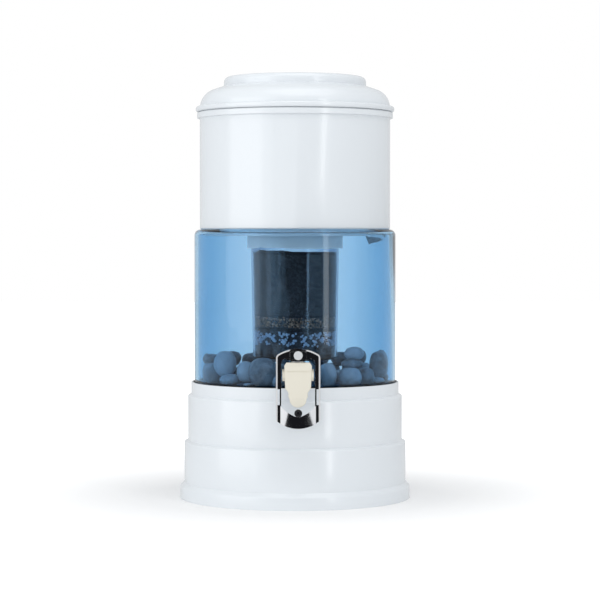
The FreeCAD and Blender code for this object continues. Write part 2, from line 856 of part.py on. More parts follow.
def make_valve():
    plug_bottom = s.barrel_top - s.bonnet_plug
    bonnet = fused(
        "bonnet_solid",
        cylinder("bonnet_cap", s.barrel_radius, s.bonnet_thickness, y=-barrel_y, z=s.barrel_top),
        cylinder("bonnet_plug_solid", s.barrel_bore - s.bonnet_play, s.bonnet_plug, y=-barrel_y, z=plug_bottom),
    )
    guide = cylinder("bonnet_guide", s.plunger_radius + s.plunger_play,
                     s.bonnet_plug + s.bonnet_thickness, y=-barrel_y, z=plug_bottom)
    keep("tap_bonnet", cut("tap_bonnet_cut", bonnet, guide))
    seal_top = s.valve_seat + s.seal_thickness
    foot_top = seal_top + s.plunger_foot_thickness
    head_bottom = s.barrel_top + s.bonnet_thickness + s.fork_lift + s.fork_thickness
    stem_foot = seal_top - s.seal_thickness / 2
    plunger = fused(
        "plunger_solid",
        cylinder("plunger_stem", s.plunger_radius, head_bottom - stem_foot, y=-barrel_y, z=stem_foot),
        cylinder("plunger_foot_disc", s.plunger_foot, s.plunger_foot_thickness, y=-barrel_y, z=seal_top),
        cylinder("plunger_head", s.head_radius, s.head_thickness, y=-barrel_y, z=head_bottom),
    )
    keep("valve_plunger", plunger)
    seal = cone("seal_cone", s.seal_radius - s.seal_thickness / 3, s.seal_radius, s.seal_thickness,
                y=-barrel_y, z=s.valve_seat)
    socket = cylinder("seal_socket", s.plunger_radius, s.seal_thickness / 2, y=-barrel_y, z=stem_foot)
    keep("valve_seal", cut("valve_seal_cut", seal, socket))
    make_spring(foot_top, plug_bottom)


def make_spring(bottom, top):
    """A coil of square wire between the plunger's foot and the bonnet."""
    spring = doc.addObject("Part::Feature", "valve_spring")
    half = s.spring_wire.value / 2
    length = top.value - bottom.value - s.spring_wire.value
    pitch = length / s.spring_turns.value
    helix = Part.makeHelix(pitch, length, s.spring_radius.value)
    start = Vector(s.spring_radius.value, 0, 0)
    corners = [start + Vector(a * half, 0, b * half) for a, b in ((-1, -1), (1, -1), (1, 1), (-1, 1), (-1, -1))]
    spring.Shape = Part.Wire(helix).makePipeShell([Part.makePolygon(corners)], True, True)
    spring.Placement = FreeCAD.Placement(
        Vector(0, -barrel_y.value, bottom.value + half + 0.01), FreeCAD.Rotation())
    keep("valve_spring", spring)


# Lever: a paddle that turns on a pin, with a fork behind it under the plunger's head

def symmetric(half, top=()):
    """Adds the left-hand mirror to the right-hand half of an outline, listed from the bottom up."""
    outline = list(half)
    if size_of(half[-1][0]).value > 0:
        outline.append((-size_of(half[-1][0]), half[-1][1], *top))
    for index in range(len(half) - 2, -1, -1):
        across, up = half[index][:2]
        bend = half[index + 1][2:]
        if size_of(across).value > 0:
            outline.append((-size_of(across), up, *bend))
        else:
            outline[0] = (across, up, *bend)
    return outline


def round_face(body, radius, forward):
    """Rounds the edges of a body that lie on a plane square to Y."""
    names = []
    for number, edge in enumerate(body.Shape.Edges, 1):
        box_of_edge = edge.BoundBox
        if max(abs(box_of_edge.YMin + forward.value), abs(box_of_edge.YMax + forward.value)) < 0.001:
            names.append(f"Edge{number}")
    rounded = body.Tip
    fillet = body.newObject("PartDesign::Fillet", body.Name + "_fillet")
    fillet.Base = (rounded, names)
    bind(fillet, "Radius", radius)
    body.Tip = fillet
    doc.recompute()


def make_lever():
    lever = new_body("tap_lever")
    paddle_back = pin_y + s.paddle_offset
    paddle_front = paddle_back + s.paddle_thickness
    paddle = new_sketch(lever, "XZ_Plane", paddle_back)
    draw(paddle, symmetric([
        (0, s.paddle_fold - s.tip_radius),
        (s.tip_radius, s.paddle_fold, s.tip_radius, "right"),
        (s.paddle_neck_half, s.paddle_fold + (s.paddle_neck_half - s.tip_radius) * 2),
        (s.paddle_neck_half, s.paddle_neck_top),
        (s.paddle_waist_half, s.paddle_waist_top),
        (s.paddle_half, s.seam_height),
        (s.paddle_half, s.paddle_shoulder),
        (s.paddle_top_half, s.paddle_top),
    ]))
    extrude(lever, paddle, s.paddle_thickness)
    round_face(lever, s.paddle_rounding, paddle_front)
    seam = new_sketch(lever, "XZ_Plane", paddle_front + 1)
    draw(seam, symmetric([
        (s.lever_half_width, s.seam_height - s.seam_width / 2),
        (s.lever_half_width, s.seam_height + s.seam_width / 2),
    ]))
    extrude(lever, seam, s.seam_depth + 1, kind="Pocket")
    for start in (s.lever_half_width - s.ear_thickness, -s.lever_half_width):
        ear = new_sketch(lever, "YZ_Plane", start)
        draw_circle(ear, -pin_y, s.pin_height, s.ear_radius)
        extrude(lever, ear, s.ear_thickness)
    fork = new_sketch(lever, "XY_Plane", s.barrel_top + s.bonnet_thickness + s.fork_lift)
    slot_half = s.plunger_radius + s.fork_play
    fork_root = -(paddle_back + s.paddle_thickness / 2)
    fork_tip = -(barrel_y - s.fork_overhang)
    slot_end = -(barrel_y + slot_half)
    draw(fork, [
        (s.fork_half, fork_root),
        (s.fork_half, fork_tip),
        (slot_half, fork_tip),
        (slot_half, slot_end),
        (-slot_half, slot_end),
        (-slot_half, fork_tip),
        (-s.fork_half, fork_tip),
        (-s.fork_half, fork_root),
    ])
    extrude(lever, fork, s.fork_thickness)
    pin_hole = new_sketch(lever, "YZ_Plane")
    draw_circle(pin_hole, -pin_y, s.pin_height, s.pin_radius)
    extrude(lever, pin_hole, s.lever_half_width * 2 + 2, kind="Pocket", both=True)
    pin = cylinder("lever_pin", s.pin_radius, s.lever_half_width * 2,
                   x=-s.lever_half_width, y=-pin_y, z=s.pin_height, rotation=SIDEWAYS)
    keep("lever_pin", pin)


# Front frame of the tap: two rails and a crown with a channel between two beads, and a bowed apron

def crown_radius():
    """The crown's radius at which it runs smoothly into the rounded shoulders."""
    across = s.frame_half - s.frame_corner
    rise = s.frame_crown - s.frame_shoulder
    return (across * across + rise * rise - s.frame_corner * s.frame_corner) / ((rise - s.frame_corner) * 2)


def frame_outline(inset, *feet):
    """The frame's outer outline, drawn in by an inset, from its feet up."""
    crown = crown_radius()
    across = s.frame_half - s.frame_corner
    below = s.frame_shoulder - (s.frame_crown - crown)
    reach = crown - s.frame_corner
    half = [
        *feet,
        (s.frame_half - inset, s.frame_shoulder),
        (across / reach * (crown - inset),
         s.frame_crown - crown + below / reach * (crown - inset),
         s.frame_corner - inset, "right"),
    ]
    return symmetric(half, top=(crown - inset, "right"))


def window_outline(grow, foot):
    """The window in the frame, drawn out by an amount."""
    return symmetric([
        (s.window_half + grow, foot),
        (s.window_half + grow, s.window_top - s.window_corner),
        (s.window_lobe, s.window_top + grow, s.window_corner + grow, "right"),
        (s.window_dip_half, s.window_dip + grow),
    ])


def make_frame():
    rails = doc.addObject("PartDesign::Body", "frame_rails")
    face = new_sketch(rails, "XZ_Plane", frame_back)
    foot = [(s.window_half, s.rail_foot), (s.frame_half, s.frame_bottom)]
    draw(face, frame_outline(size_of(0), *foot))
    extrude(rails, face, s.frame_depth)
    window = new_sketch(rails, "XZ_Plane", frame_back - 1)
    draw(window, window_outline(size_of(0), s.rail_foot - 1))
    extrude(rails, window, s.frame_depth + 2, kind="Pocket", reverse=True)
    channel = new_sketch(rails, "XZ_Plane", frame_front + 1)
    beads = s.bead_width
    channel_foot = s.rail_foot - beads
    draw(channel, frame_outline(beads, (s.frame_half - beads, channel_foot)))
    draw(channel, window_outline(beads, channel_foot - beads))
    extrude(rails, channel, s.channel_depth + 1, kind="Pocket")
    slot = new_sketch(rails, "XZ_Plane", frame_back - 1)
    for side in (1, -1):
        edges = sorted([(s.window_half + beads) * side, (s.frame_half - beads) * side], key=lambda e: e.value)
        draw(slot, [
            (edges[0], s.slot_bottom),
            (edges[1], s.slot_bottom),
            (edges[1], s.slot_top),
            (edges[0], s.slot_top),
        ])
    extrude(rails, slot, s.frame_depth + 2, kind="Pocket", reverse=True)
    boss = new_sketch(rails, "XZ_Plane", frame_back)
    draw(boss, symmetric([(s.boss_half, s.boss_bottom), (s.boss_half, s.boss_top)]))
    extrude(rails, boss, s.frame_depth + s.boss_proud)
    apron_blank = doc.addObject("PartDesign::Body", "apron_blank")
    apron = new_sketch(apron_blank, "XZ_Plane", frame_back - s.frame_depth)
    side = s.window_half + s.apron_lap
    draw(apron, symmetric([
        (side, s.apron_foot, s.apron_bend, "right"),
        (side, s.apron_top),
        (0, s.notch_bottom, s.notch_radius, "left"),
    ]))
    extrude(apron_blank, apron, s.frame_depth * 3)
    bow_y = -(frame_front + s.apron_bulge - s.apron_radius)
    bow_height = s.apron_top - s.apron_foot + s.apron_bend
    bow_z = s.apron_foot - s.apron_bend / 2
    outside = cylinder("apron_outside", s.apron_radius, bow_height, y=bow_y, z=bow_z)
    inside = cylinder("apron_inside", s.apron_radius - s.apron_wall, bow_height, y=bow_y, z=bow_z)
    bow = common("apron_bow", apron_blank, cut("apron_shell", outside, inside))
    solid = fused("tap_frame_solid", rails, bow)
    boss_front = frame_front + s.boss_proud
    recess_floor = boss_front - s.badge_sunk
    pin_y_ball = -(frame_front + s.apron_bulge - s.apron_wall / 2)
    hollow = fused(
        "tap_frame_hollow",
        cylinder("badge_recess", s.badge_radius + s.screw_play, s.frame_depth,
                 y=-recess_floor, z=s.badge_height, rotation=FORWARD),
        cylinder("screw_head_recess", s.screw_head_radius + s.screw_play, s.frame_depth,
                 y=-(recess_floor - s.screw_head), z=s.badge_height, rotation=FORWARD),
        cylinder("screw_clearance", s.screw_radius + s.screw_play, s.frame_depth * 2,
                 y=-(frame_back - 1), z=s.badge_height, rotation=FORWARD),
        cylinder("ball_pin_hole", s.ball_pin_radius + s.screw_play, s.ball_pin_length,
                 y=pin_y_ball, z=s.notch_bottom - s.ball_pin_length + s.ball_radius),
    )
    ball_height = s.notch_bottom + s.ball_radius
    seat = doc.addObject("Part::Sphere", "ball_seat")
    bind(seat, "Radius", s.ball_radius + s.screw_play)
    place(seat, y=pin_y_ball, z=ball_height)
    bored = cut("tap_frame_bored", solid, hollow)
    keep("tap_frame", cut("tap_frame_cut", bored, seat))
    screw = fused(
        "frame_screw_solid",
        cylinder("frame_screw_head", s.screw_head_radius, s.screw_head,
                 y=-(recess_floor - s.screw_head), z=s.badge_height, rotation=FORWARD),
        cylinder("frame_screw_shank", s.screw_radius, s.screw_length,
                 y=-(recess_floor - s.screw_head - s.screw_length), z=s.badge_height, rotation=FORWARD),
    )
    keep("frame_screw", screw)
    badge = cylinder("tap_badge", s.badge_radius, s.badge_thickness,
                     y=-recess_floor, z=s.badge_height, rotation=FORWARD)
    keep("tap_badge", badge)
    ball = doc.addObject("Part::Sphere", "ball_head")
    bind(ball, "Radius", s.ball_radius)
    place(ball, y=pin_y_ball, z=ball_height)
    ball_pin = cylinder("ball_pin", s.ball_pin_radius, s.ball_pin_length,
                        y=pin_y_ball, z=ball_height - s.ball_pin_length)
    keep("ball_stud", fused("ball_stud_solid", ball, ball_pin))


# Pebbles: loose stones round the cartridge. Each is placed by its bearing from the front, its inset
# from the glass, its lift above the vessel's floor, and half its width, depth and height.

FRONT_STONES = [
    (-84, 13.5, 35.0, 10.0, 8.5, 6.5),
    (-78, 12.5, 17.0, 9.5, 9.0, 11.0),
    (-56, 15.0, 25.5, 13.0, 10.0, 12.5),
    (-40, 22.0, 27.5, 10.5, 7.5, 10.0),
    (-51, 16.0, 6.2, 11.5, 11.0, 6.0),
    (-24, 19.0, 16.5, 15.5, 9.5, 14.5),
    (-33, 13.0, 2.2, 5.0, 5.0, 2.0),
    (-12, 14.0, 6.0, 6.0, 6.5, 6.0),
    (-28, 44.0, 27.0, 6.0, 6.0, 5.5),
    (22, 20.0, 14.0, 9.5, 9.0, 12.0),
    (41, 38.0, 31.0, 7.0, 6.0, 5.0),
    (46, 20.0, 36.0, 10.5, 9.0, 6.5),
    (42, 17.5, 24.5, 14.0, 9.0, 4.6),
    (38, 14.0, 10.4, 13.5, 10.0, 9.8),
    (58, 17.0, 13.6, 9.0, 8.0, 9.0),
    (74, 13.5, 22.0, 9.0, 8.5, 14.0),
    (87, 11.0, 27.0, 8.0, 7.0, 13.0),
    (93, 12.5, 6.8, 9.0, 9.0, 6.4),
    (70, 12.5, 3.6, 7.5, 7.0, 3.4),
]


def stone(width, depth, height, turn, seed):
    """An egg-like solid of flat faces, a little different for each seed."""
    rings, sides = 4, 8
    poles = [Vector(0, 0, -height), Vector(0, 0, height)]
    layers = []
    for ring in range(1, rings):
        rise = -math.cos(math.pi * ring / rings)
        girth = math.sin(math.pi * ring / rings) ** 0.8
        layer = []
        for side in range(sides):
            bearing = 2 * math.pi * (side + 0.5 * (ring % 2)) / sides
            swell = 1 + 0.08 * math.sin(seed * 2.3 + side * 1.7 + ring * 0.9)
            layer.append(Vector(width * girth * swell * math.cos(bearing),
                                depth * girth * swell * math.sin(bearing), height * rise))
        layers.append(layer)
    triangles = []
    for side in range(sides):
        after = (side + 1) % sides
        triangles.append((poles[0], layers[0][after], layers[0][side]))
        triangles.append((poles[1], layers[-1][side], layers[-1][after]))
        for ring, (low, high) in enumerate(zip(layers, layers[1:]), 1):
            if ring % 2:
                triangles.append((low[side], low[after], high[side]))
                triangles.append((low[after], high[after], high[side]))
            else:
                triangles.append((low[side], high[after], high[side]))
                triangles.append((low[side], low[after], high[after]))
    faces = [Part.Face(Part.makePolygon([*corners, corners[0]])) for corners in triangles]
    solid = Part.Solid(Part.Shell(faces))
    solid.rotate(Vector(), Vector(0, 0, 1), turn)
    return solid


def settle(solid, floor, placed):
    """Lets a stone down from above its place until it lies just clear of the floor or a stone."""
    gap = s.pebble_gap.value
    reach = solid.BoundBox
    below = [other for other in placed if other.BoundBox.XMax > reach.XMin and other.BoundBox.XMin < reach.XMax
             and other.BoundBox.YMax > reach.YMin and other.BoundBox.YMin < reach.YMax]

    def clear(height):
        trial = solid.copy()
        trial.translate(Vector(0, 0, height - reach.ZMin))
        return height >= floor + gap and all(trial.distToShape(other)[0] >= gap for other in below)

    high = reach.ZMin + reach.ZLength
    step = reach.ZLength / 8
    while clear(high - step):
        high -= step
    for _ in range(6):
        step /= 2
        if clear(high - step):
            high -= step
    solid.translate(Vector(0, 0, high - reach.ZMin))


# Rings of stones that the front ones hide. Angles in degrees, lengths as in FRONT_STONES.
STONE_RINGS = [
    {"count": 9, "first": 116, "step": 17.5, "inset": 17.0, "lift": 9.0, "sway": 1.6, "rate": 1.9,
     "width": 10.5, "depth": 9.5},
    {"count": 8, "first": 126, "step": 17.5, "inset": 16.0, "lift": 28.0, "sway": 1.5, "rate": 2.7,
     "width": 10.5, "depth": 9.0, "height": 7.4},
    {"count": 12, "first": 18, "step": 30.0, "inset": 50.0, "lift": 6.2, "sway": 1.2, "rate": 2.1,
     "width": 9.5, "depth": 9.5},
    {"count": 5, "first": 20, "step": 72.0, "inset": 83.0, "lift": 6.6, "sway": 0.0, "rate": 1.0,
     "width": 9.0, "depth": 9.0, "height": 6.2},
]
STONE_FLOOR_GAP = 0.3


def make_pebbles():
    bed_radius = vessel_inner.value
    floor = vessel_floor_top.value
    places = list(FRONT_STONES)
    for ring in STONE_RINGS:
        for index in range(ring["count"]):
            bearing = ring["first"] + index * ring["step"]
            lift = ring["lift"] + ring["sway"] * math.sin(index * ring["rate"])
            height = ring.get("height", lift - STONE_FLOOR_GAP)
            places.append((bearing, ring["inset"], lift, ring["width"], ring["depth"], height))
    stones = []
    places.sort(key=lambda place: place[2] - place[5])
    for seed, (bearing, inset, lift, width, depth, height) in enumerate(places):
        radius = bed_radius - inset
        grain = s.pebble_scale.value
        solid = stone(width * grain, depth * grain, height * grain, bearing, seed)
        angle = math.radians(bearing)
        solid.translate(Vector(radius * math.sin(angle), -radius * math.cos(angle), floor + lift * grain))
        settle(solid, floor, stones)
        stones.append(solid)
    pebbles = doc.addObject("Part::Feature", "pebbles")
    pebbles.Shape = Part.Compound(stones)
    keep("pebbles", pebbles)


make_stand()
make_seat_ring()
make_vessel()
make_tank()
make_ceramic_filter()
make_lid()
make_cartridge()
make_media()
make_tap_body()
make_tap_seals()
make_valve()
make_lever()
make_frame()
make_pebbles()
doc.recompute()

for item in doc.Objects:
    if "Invalid" in item.State or "Error" in item.State:
        raise RuntimeError(f"{item.Label} failed: {item.State}")
os.makedirs("parts", exist_ok=True)
for name, item in nodes.items():
    shape = item.Shape
    if shape.isNull() or not shape.isValid() or shape.Volume <= 0:
        raise RuntimeError(f"{name} has no sound shape")
    shape.exportStep(os.path.join("parts", name + ".step"))
print(f"{len(nodes)} nodes written")
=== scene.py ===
import json
import math
import random

import bmesh
import bpy
from bpy.props import FloatProperty, FloatVectorProperty, IntProperty, PointerProperty
from mathutils import Matrix, Vector

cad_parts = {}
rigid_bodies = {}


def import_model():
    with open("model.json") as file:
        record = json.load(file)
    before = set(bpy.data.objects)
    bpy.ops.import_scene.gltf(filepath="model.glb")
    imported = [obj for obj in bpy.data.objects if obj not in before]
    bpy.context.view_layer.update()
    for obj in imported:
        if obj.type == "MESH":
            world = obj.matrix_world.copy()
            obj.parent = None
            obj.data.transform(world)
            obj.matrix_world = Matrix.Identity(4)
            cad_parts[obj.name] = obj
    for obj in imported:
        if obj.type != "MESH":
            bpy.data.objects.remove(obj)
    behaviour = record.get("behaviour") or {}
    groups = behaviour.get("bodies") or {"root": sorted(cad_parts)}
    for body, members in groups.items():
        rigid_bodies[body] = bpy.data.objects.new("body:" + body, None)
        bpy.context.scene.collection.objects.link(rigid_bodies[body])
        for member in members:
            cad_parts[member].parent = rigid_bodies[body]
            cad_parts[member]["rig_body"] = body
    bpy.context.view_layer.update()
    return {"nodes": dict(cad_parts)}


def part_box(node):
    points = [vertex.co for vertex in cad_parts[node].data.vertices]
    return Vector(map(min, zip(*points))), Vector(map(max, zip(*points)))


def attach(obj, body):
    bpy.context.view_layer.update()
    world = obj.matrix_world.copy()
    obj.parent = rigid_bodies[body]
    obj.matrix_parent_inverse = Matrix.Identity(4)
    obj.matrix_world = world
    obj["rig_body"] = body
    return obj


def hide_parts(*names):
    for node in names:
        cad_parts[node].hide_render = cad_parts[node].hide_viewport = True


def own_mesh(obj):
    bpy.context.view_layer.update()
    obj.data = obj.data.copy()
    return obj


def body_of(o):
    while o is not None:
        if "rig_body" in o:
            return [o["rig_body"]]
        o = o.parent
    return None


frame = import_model()
NODES = frame["nodes"]

bl_info = {
    "name": "Gravity Water Filter",
    "version": (1, 0, 0),
    "blender": (4, 5, 0),
    "location": "View3D > Sidebar > Water Filter",
    "description": "Dresses the water filter's pieces and sets up its stage",
    "category": "Object",
}

MM = 0.001

# Shader groups by name, which the first operator builds
GROUPS = {}

# Merging, smoothing and bevelling of meshes
WELD_GAP = 0.001 * MM
FLAT_DEGREES = 0.2
SMOOTH_DEGREES = 32
SHARP_DEGREES = 35

# Shader patterns, with scales in repeats a metre
FLOW_SCALE = 9.0
FLOW_SHADE = 0.97
SKIN_SCALE = 900.0
SKIN_DEPTH = 0.02 * MM
GRAIN_CONTRAST = 2.2
GRAIN_BUMP = 0.9
FULL_SLANT = 0.5
SHADOW_TINT = 0.1
SMEAR_SCALE = 60.0

# Colours of the finishes that have no setting
WHITE = (1.0, 1.0, 1.0)
BLACK = (0.0, 0.0, 0.0)
RUBBER_BLACK = (0.012, 0.013, 0.016)
SILICONE_WHITE = (0.72, 0.72, 0.70)
CERAMIC_DARK = (0.74, 0.71, 0.65)
CERAMIC_LIGHT = (0.86, 0.84, 0.79)
PAN_GREY = (0.70, 0.74, 0.80)
CAP_WHITE = (0.88, 0.89, 0.90)
CUP_TINT = (0.86, 0.90, 0.94)
CUP_DEEP = (0.45, 0.52, 0.62)
FELT_DARK = (0.012, 0.013, 0.016)
FELT_LIGHT = (0.05, 0.052, 0.06)
CARBON_DARK = (0.004, 0.004, 0.005)
CARBON_LIGHT = (0.06, 0.062, 0.07)
GRIT_DARK = (0.006, 0.007, 0.009)
GRIT_LIGHT = (0.10, 0.11, 0.13)
CHROME = (0.86, 0.87, 0.89)
STEEL = (0.60, 0.61, 0.62)
# painted dark reflection: the black that the chrome frame's channel and boss would mirror
PAINTED_REFLECTION_BLACK = (0.006, 0.006, 0.008)
VALVE_GREY = (0.62, 0.63, 0.64)
# painted highlight: bright silver for the chrome frame's bead faces and rounded edges
PAINTED_HIGHLIGHT_SILVER = (0.86, 0.86, 0.87)
BADGE_SILVER = (0.70, 0.71, 0.72)
BALL_BLACK = (0.004, 0.004, 0.006)
MINERAL_DARK_SHARE = 0.35
MINERAL_LIGHT_SHARE = 1.5
# painted shade: how much darker the ivory is in the dimples
DIMPLE_PAINTED_SHADE_SHARE = 0.45

# Beds of grains round a core
CORE_SIDES = 96
CORE_INSET = 1.2
GRAIN_GAP = 0.2 * MM
SMALL_GRAIN = 0.7
FLATTEST_GRAIN = 0.85
BALL_SEED = 7
MINERAL_SEED = 11

# River stones
STONE_SEED = 5
STONE_DARKENING = 1.5
STONE_LEVELS = 2
DENT_SIZE = 0.012
DENT_DEPTH = 1.4 * MM
VEIN_SCALE = 110.0
SPECK_SCALE = 1400.0
SPECK_DEPTH = 0.1 * MM
STONE_TONE_WEIGHT = 0.7

# The tap's chrome frame: painted dark reflection on its front faces in the channel and on the boss, and
# painted highlight on its other front faces and rounded edges
CHANNEL_FLOOR_Y = -151.8 * MM
CHANNEL_PLAY = 0.3 * MM
APRON_FRONT_Y = -153.8 * MM
BOSS_HALF = 8.4 * MM
BOSS_FOOT_Z = 157.5 * MM
FRONTWARD = -0.98
# material slots of the frame's painted dark reflection and painted highlight
PAINTED_REFLECTION_INDEX = 1
PAINTED_HIGHLIGHT_INDEX = 2

# Dots of painted shade that stand in for dimples across the lever's tip
DOT_COUNT = 9
DOT_PITCH = 1.35 * MM
DOT_HEIGHT = 117.5 * MM
DOT_RADIUS = 0.28 * MM
DOT_INSET = 0.2 * MM

# Stage
SKY_WHITE = (0.97, 0.985, 1.0)
FLOOR_WHITE = (0.86, 0.86, 0.86)
FLOOR_SIZE = 14.0
FLOOR_DROP = 0.05 * MM
FLOOR_GLOW = 0.1
HORIZON_GLOW = 0.7
GLOW_NEAR = 0.16
GLOW_FAR = 0.6
CARD_BLACK = (0.01, 0.01, 0.012)
CARD_SETBACK = 0.4
CARD_RISE = 0.5 * MM
LAMP_AIM_HEIGHT = 0.25
SENSOR_WIDTH = 36.0
VIEW_END = 60.0


# Settings

class FilterFinishes(bpy.types.PropertyGroup):
    """Colours of the filter's own finishes"""

    white: FloatVectorProperty(
        name="White plastic", description="Colour of the lid, tank and stand",
        subtype="COLOR", size=3, default=(0.79, 0.83, 0.865))
    blue: FloatVectorProperty(
        name="Blue glass", description="Tint that one wall of the vessel gives",
        subtype="COLOR", size=3, default=(0.58, 0.755, 0.90))
    deep_blue: FloatVectorProperty(
        name="Deep blue", description="Tint that a wall seen at a slant gives",
        subtype="COLOR", size=3, default=(0.27, 0.53, 0.76))
    ivory: FloatVectorProperty(
        name="Ivory plastic", description="Colour of the tap's lever",
        subtype="COLOR", size=3, default=(0.80, 0.765, 0.66))
    stone_dark: FloatVectorProperty(
        name="Dark stone", description="Darkest tone of the river stones",
        subtype="COLOR", size=3, default=(0.018, 0.024, 0.034))
    stone_light: FloatVectorProperty(
        name="Light stone", description="Lightest tone of the river stones",
        subtype="COLOR", size=3, default=(0.34, 0.40, 0.48))
    ball: FloatVectorProperty(
        name="Ceramic balls", description="Colour of the small balls in the cartridge",
        subtype="COLOR", size=3, default=(0.52, 0.68, 0.88))
    mineral: FloatVectorProperty(
        name="Mineral grains", description="Main colour of the mineral layer",
        subtype="COLOR", size=3, default=(0.42, 0.29, 0.21))


class FilterMedia(bpy.types.PropertyGroup):
    """Sizes and counts of what lies in the cartridge and the vessel"""

    ball_count: IntProperty(
        name="Balls", description="Balls that show in the ball bed", default=330, min=1)
    ball_least: FloatProperty(
        name="Smallest ball", description="Radius of the smallest ball",
        default=0.9 * MM, unit="LENGTH", precision=5)
    ball_most: FloatProperty(
        name="Largest ball", description="Radius of the largest ball",
        default=2.0 * MM, unit="LENGTH", precision=5)
    grain_count: IntProperty(
        name="Grains", description="Grains that show in the mineral bed", default=1100, min=1)
    grain_radius: FloatProperty(
        name="Grain", description="Radius of a mineral grain",
        default=1.15 * MM, unit="LENGTH", precision=5)
    stone_swell: FloatProperty(
        name="Stone swell", description="Growth that offsets the smoothing of a stone", default=1.25)


class FilterStage(bpy.types.PropertyGroup):
    """Camera and lamps"""

    lens: FloatProperty(name="Lens", description="Focal length in millimetres", default=127.1)
    distance: FloatProperty(
        name="Distance", description="From the filter's axis to the camera",
        default=2.3, unit="LENGTH")
    eye_height: FloatProperty(
        name="Eye height", description="Height of the camera above the floor",
        default=0.281, unit="LENGTH")
    azimuth: FloatProperty(
        name="Azimuth", description="Angle of the camera round the filter",
        default=math.radians(-1.2), subtype="ANGLE")
    tilt: FloatProperty(
        name="Tilt", description="Angle that the camera looks down", default=math.radians(1.673),
        subtype="ANGLE")
    aside: FloatProperty(
        name="Aside", description="Distance that the view's middle lies right of the axis",
        default=5.43 * MM, unit="LENGTH", precision=5)
    sky: FloatProperty(name="Sky", description="Strength of the even light from all sides", default=0.70)


# Selection and mesh helpers

def only(obj):
    """Makes an object the one that is selected and active."""
    bpy.ops.object.select_all(action="DESELECT")
    obj.select_set(True)
    bpy.context.view_layer.objects.active = obj
    return obj


def apply_all(obj):
    """Applies the modifiers of a piece."""
    only(obj)
    for modifier in list(obj.modifiers):
        bpy.ops.object.modifier_apply(modifier=modifier.name)


def smooth(obj, degrees=SMOOTH_DEGREES):
    """Smooths a piece, apart from its edges sharper than the angle."""
    only(obj)
    bpy.ops.object.shade_smooth_by_angle(angle=math.radians(degrees))


def added(name):
    """Names the piece that was just made, and puts its place in its mesh."""
    obj = only(bpy.context.object)
    obj.name = name
    bpy.ops.object.transform_apply(location=True, rotation=True, scale=True)
    return obj


def wear(obj, *materials):
    """Gives a piece these materials and no others."""
    obj.data.materials.clear()
    for material in materials:
        obj.data.materials.append(material)


def copy_of_node(node, name):
    """A new piece with the merged mesh of a CAD node."""
    obj = bpy.data.objects.new(name, NODES[node].data.copy())
    bpy.context.scene.collection.objects.link(obj)
    only(obj)
    if obj.data.has_custom_normals:
        bpy.ops.mesh.customdata_custom_splitnormals_clear()
    mesh = bmesh.new()
    mesh.from_mesh(obj.data)
    bmesh.ops.remove_doubles(mesh, verts=mesh.verts, dist=WELD_GAP)
    mesh.to_mesh(obj.data)
    mesh.free()
    return obj


def stand_in(obj, node):
    """Lets a new piece take the place of a CAD node."""
    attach(obj, body_of(NODES[node])[0])
    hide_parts(node)


def dress(node, slot, *materials, degrees=SMOOTH_DEGREES):
    """Puts a merged, smooth copy with its finish in the place of a CAD node."""
    obj = copy_of_node(node, node + "_skin")
    smooth(obj, degrees)
    wear(obj, *materials)
    stand_in(obj, node)
    return obj


def soften_edges(obj, width, segments, finish_index=-1):
    """Rounds the sharp edges of a dressed piece, with its flat faces kept flat."""
    mesh = bmesh.new()
    mesh.from_mesh(obj.data)
    bmesh.ops.dissolve_limit(
        mesh, angle_limit=math.radians(FLAT_DEGREES), verts=mesh.verts, edges=mesh.edges,
        delimit={"MATERIAL"})
    mesh.to_mesh(obj.data)
    mesh.free()
    edge = obj.modifiers.new("soft_edges", "BEVEL")
    edge.width = width
    edge.segments = segments
    edge.limit_method = "ANGLE"
    edge.angle_limit = math.radians(SHARP_DEGREES)
    edge.use_clamp_overlap = True
    edge.harden_normals = True
    edge.material = finish_index
    apply_all(obj)
    return obj


def islands(mesh):
    """Lists of the vertices that hang together, in the mesh's own order on every run."""
    met = set()
    for first in mesh.verts:
        if first in met:
            continue
        met.add(first)
        island = [first]
        for vertex in island:
            for edge in vertex.link_edges:
                other = edge.other_vert(vertex)
                if other not in met:
                    met.add(other)
                    island.append(other)
        yield island


# Shader nodes and groups that several finishes share

def set_inputs(node, **values):
    """Sets a node's inputs by name, with an underscore for each space."""
    for label, value in values.items():
        if isinstance(value, (tuple, list)) and len(value) == 3:
            value = (*value, 1.0)
        node.inputs[label.replace("_", " ")].default_value = value


def noise(tree, scale, detail=2.0):
    """A noise texture on the piece's own coordinates."""
    place = tree.nodes.new("ShaderNodeTexCoord")
    texture = tree.nodes.new("ShaderNodeTexNoise")
    set_inputs(texture, Scale=scale, Detail=detail)
    tree.links.new(place.outputs["Object"], texture.inputs["Vector"])
    return texture


def colour_mix(tree, **colours):
    """A mix of two colours, A and B."""
    mix = tree.nodes.new("ShaderNodeMix")
    mix.data_type = "RGBA"
    set_inputs(mix, **colours)
    return mix


def map_range(tree, **limits):
    """A node that maps one range of values to another."""
    node = tree.nodes.new("ShaderNodeMapRange")
    set_inputs(node, **limits)
    return node


def math_node(tree, operation):
    """A node for one step of arithmetic."""
    node = tree.nodes.new("ShaderNodeMath")
    node.operation = operation
    return node


def new_group(name, inputs, outputs):
    """A shader group, with the nodes where its values enter and leave."""
    group = bpy.data.node_groups.new(name, "ShaderNodeTree")
    for label, kind, value in inputs:
        socket = group.interface.new_socket(name=label, in_out="INPUT", socket_type=kind)
        socket.default_value = value
    for label, kind in outputs:
        group.interface.new_socket(name=label, in_out="OUTPUT", socket_type=kind)
    entry = group.nodes.new("NodeGroupInput")
    leave = group.nodes.new("NodeGroupOutput")
    return group, entry, leave


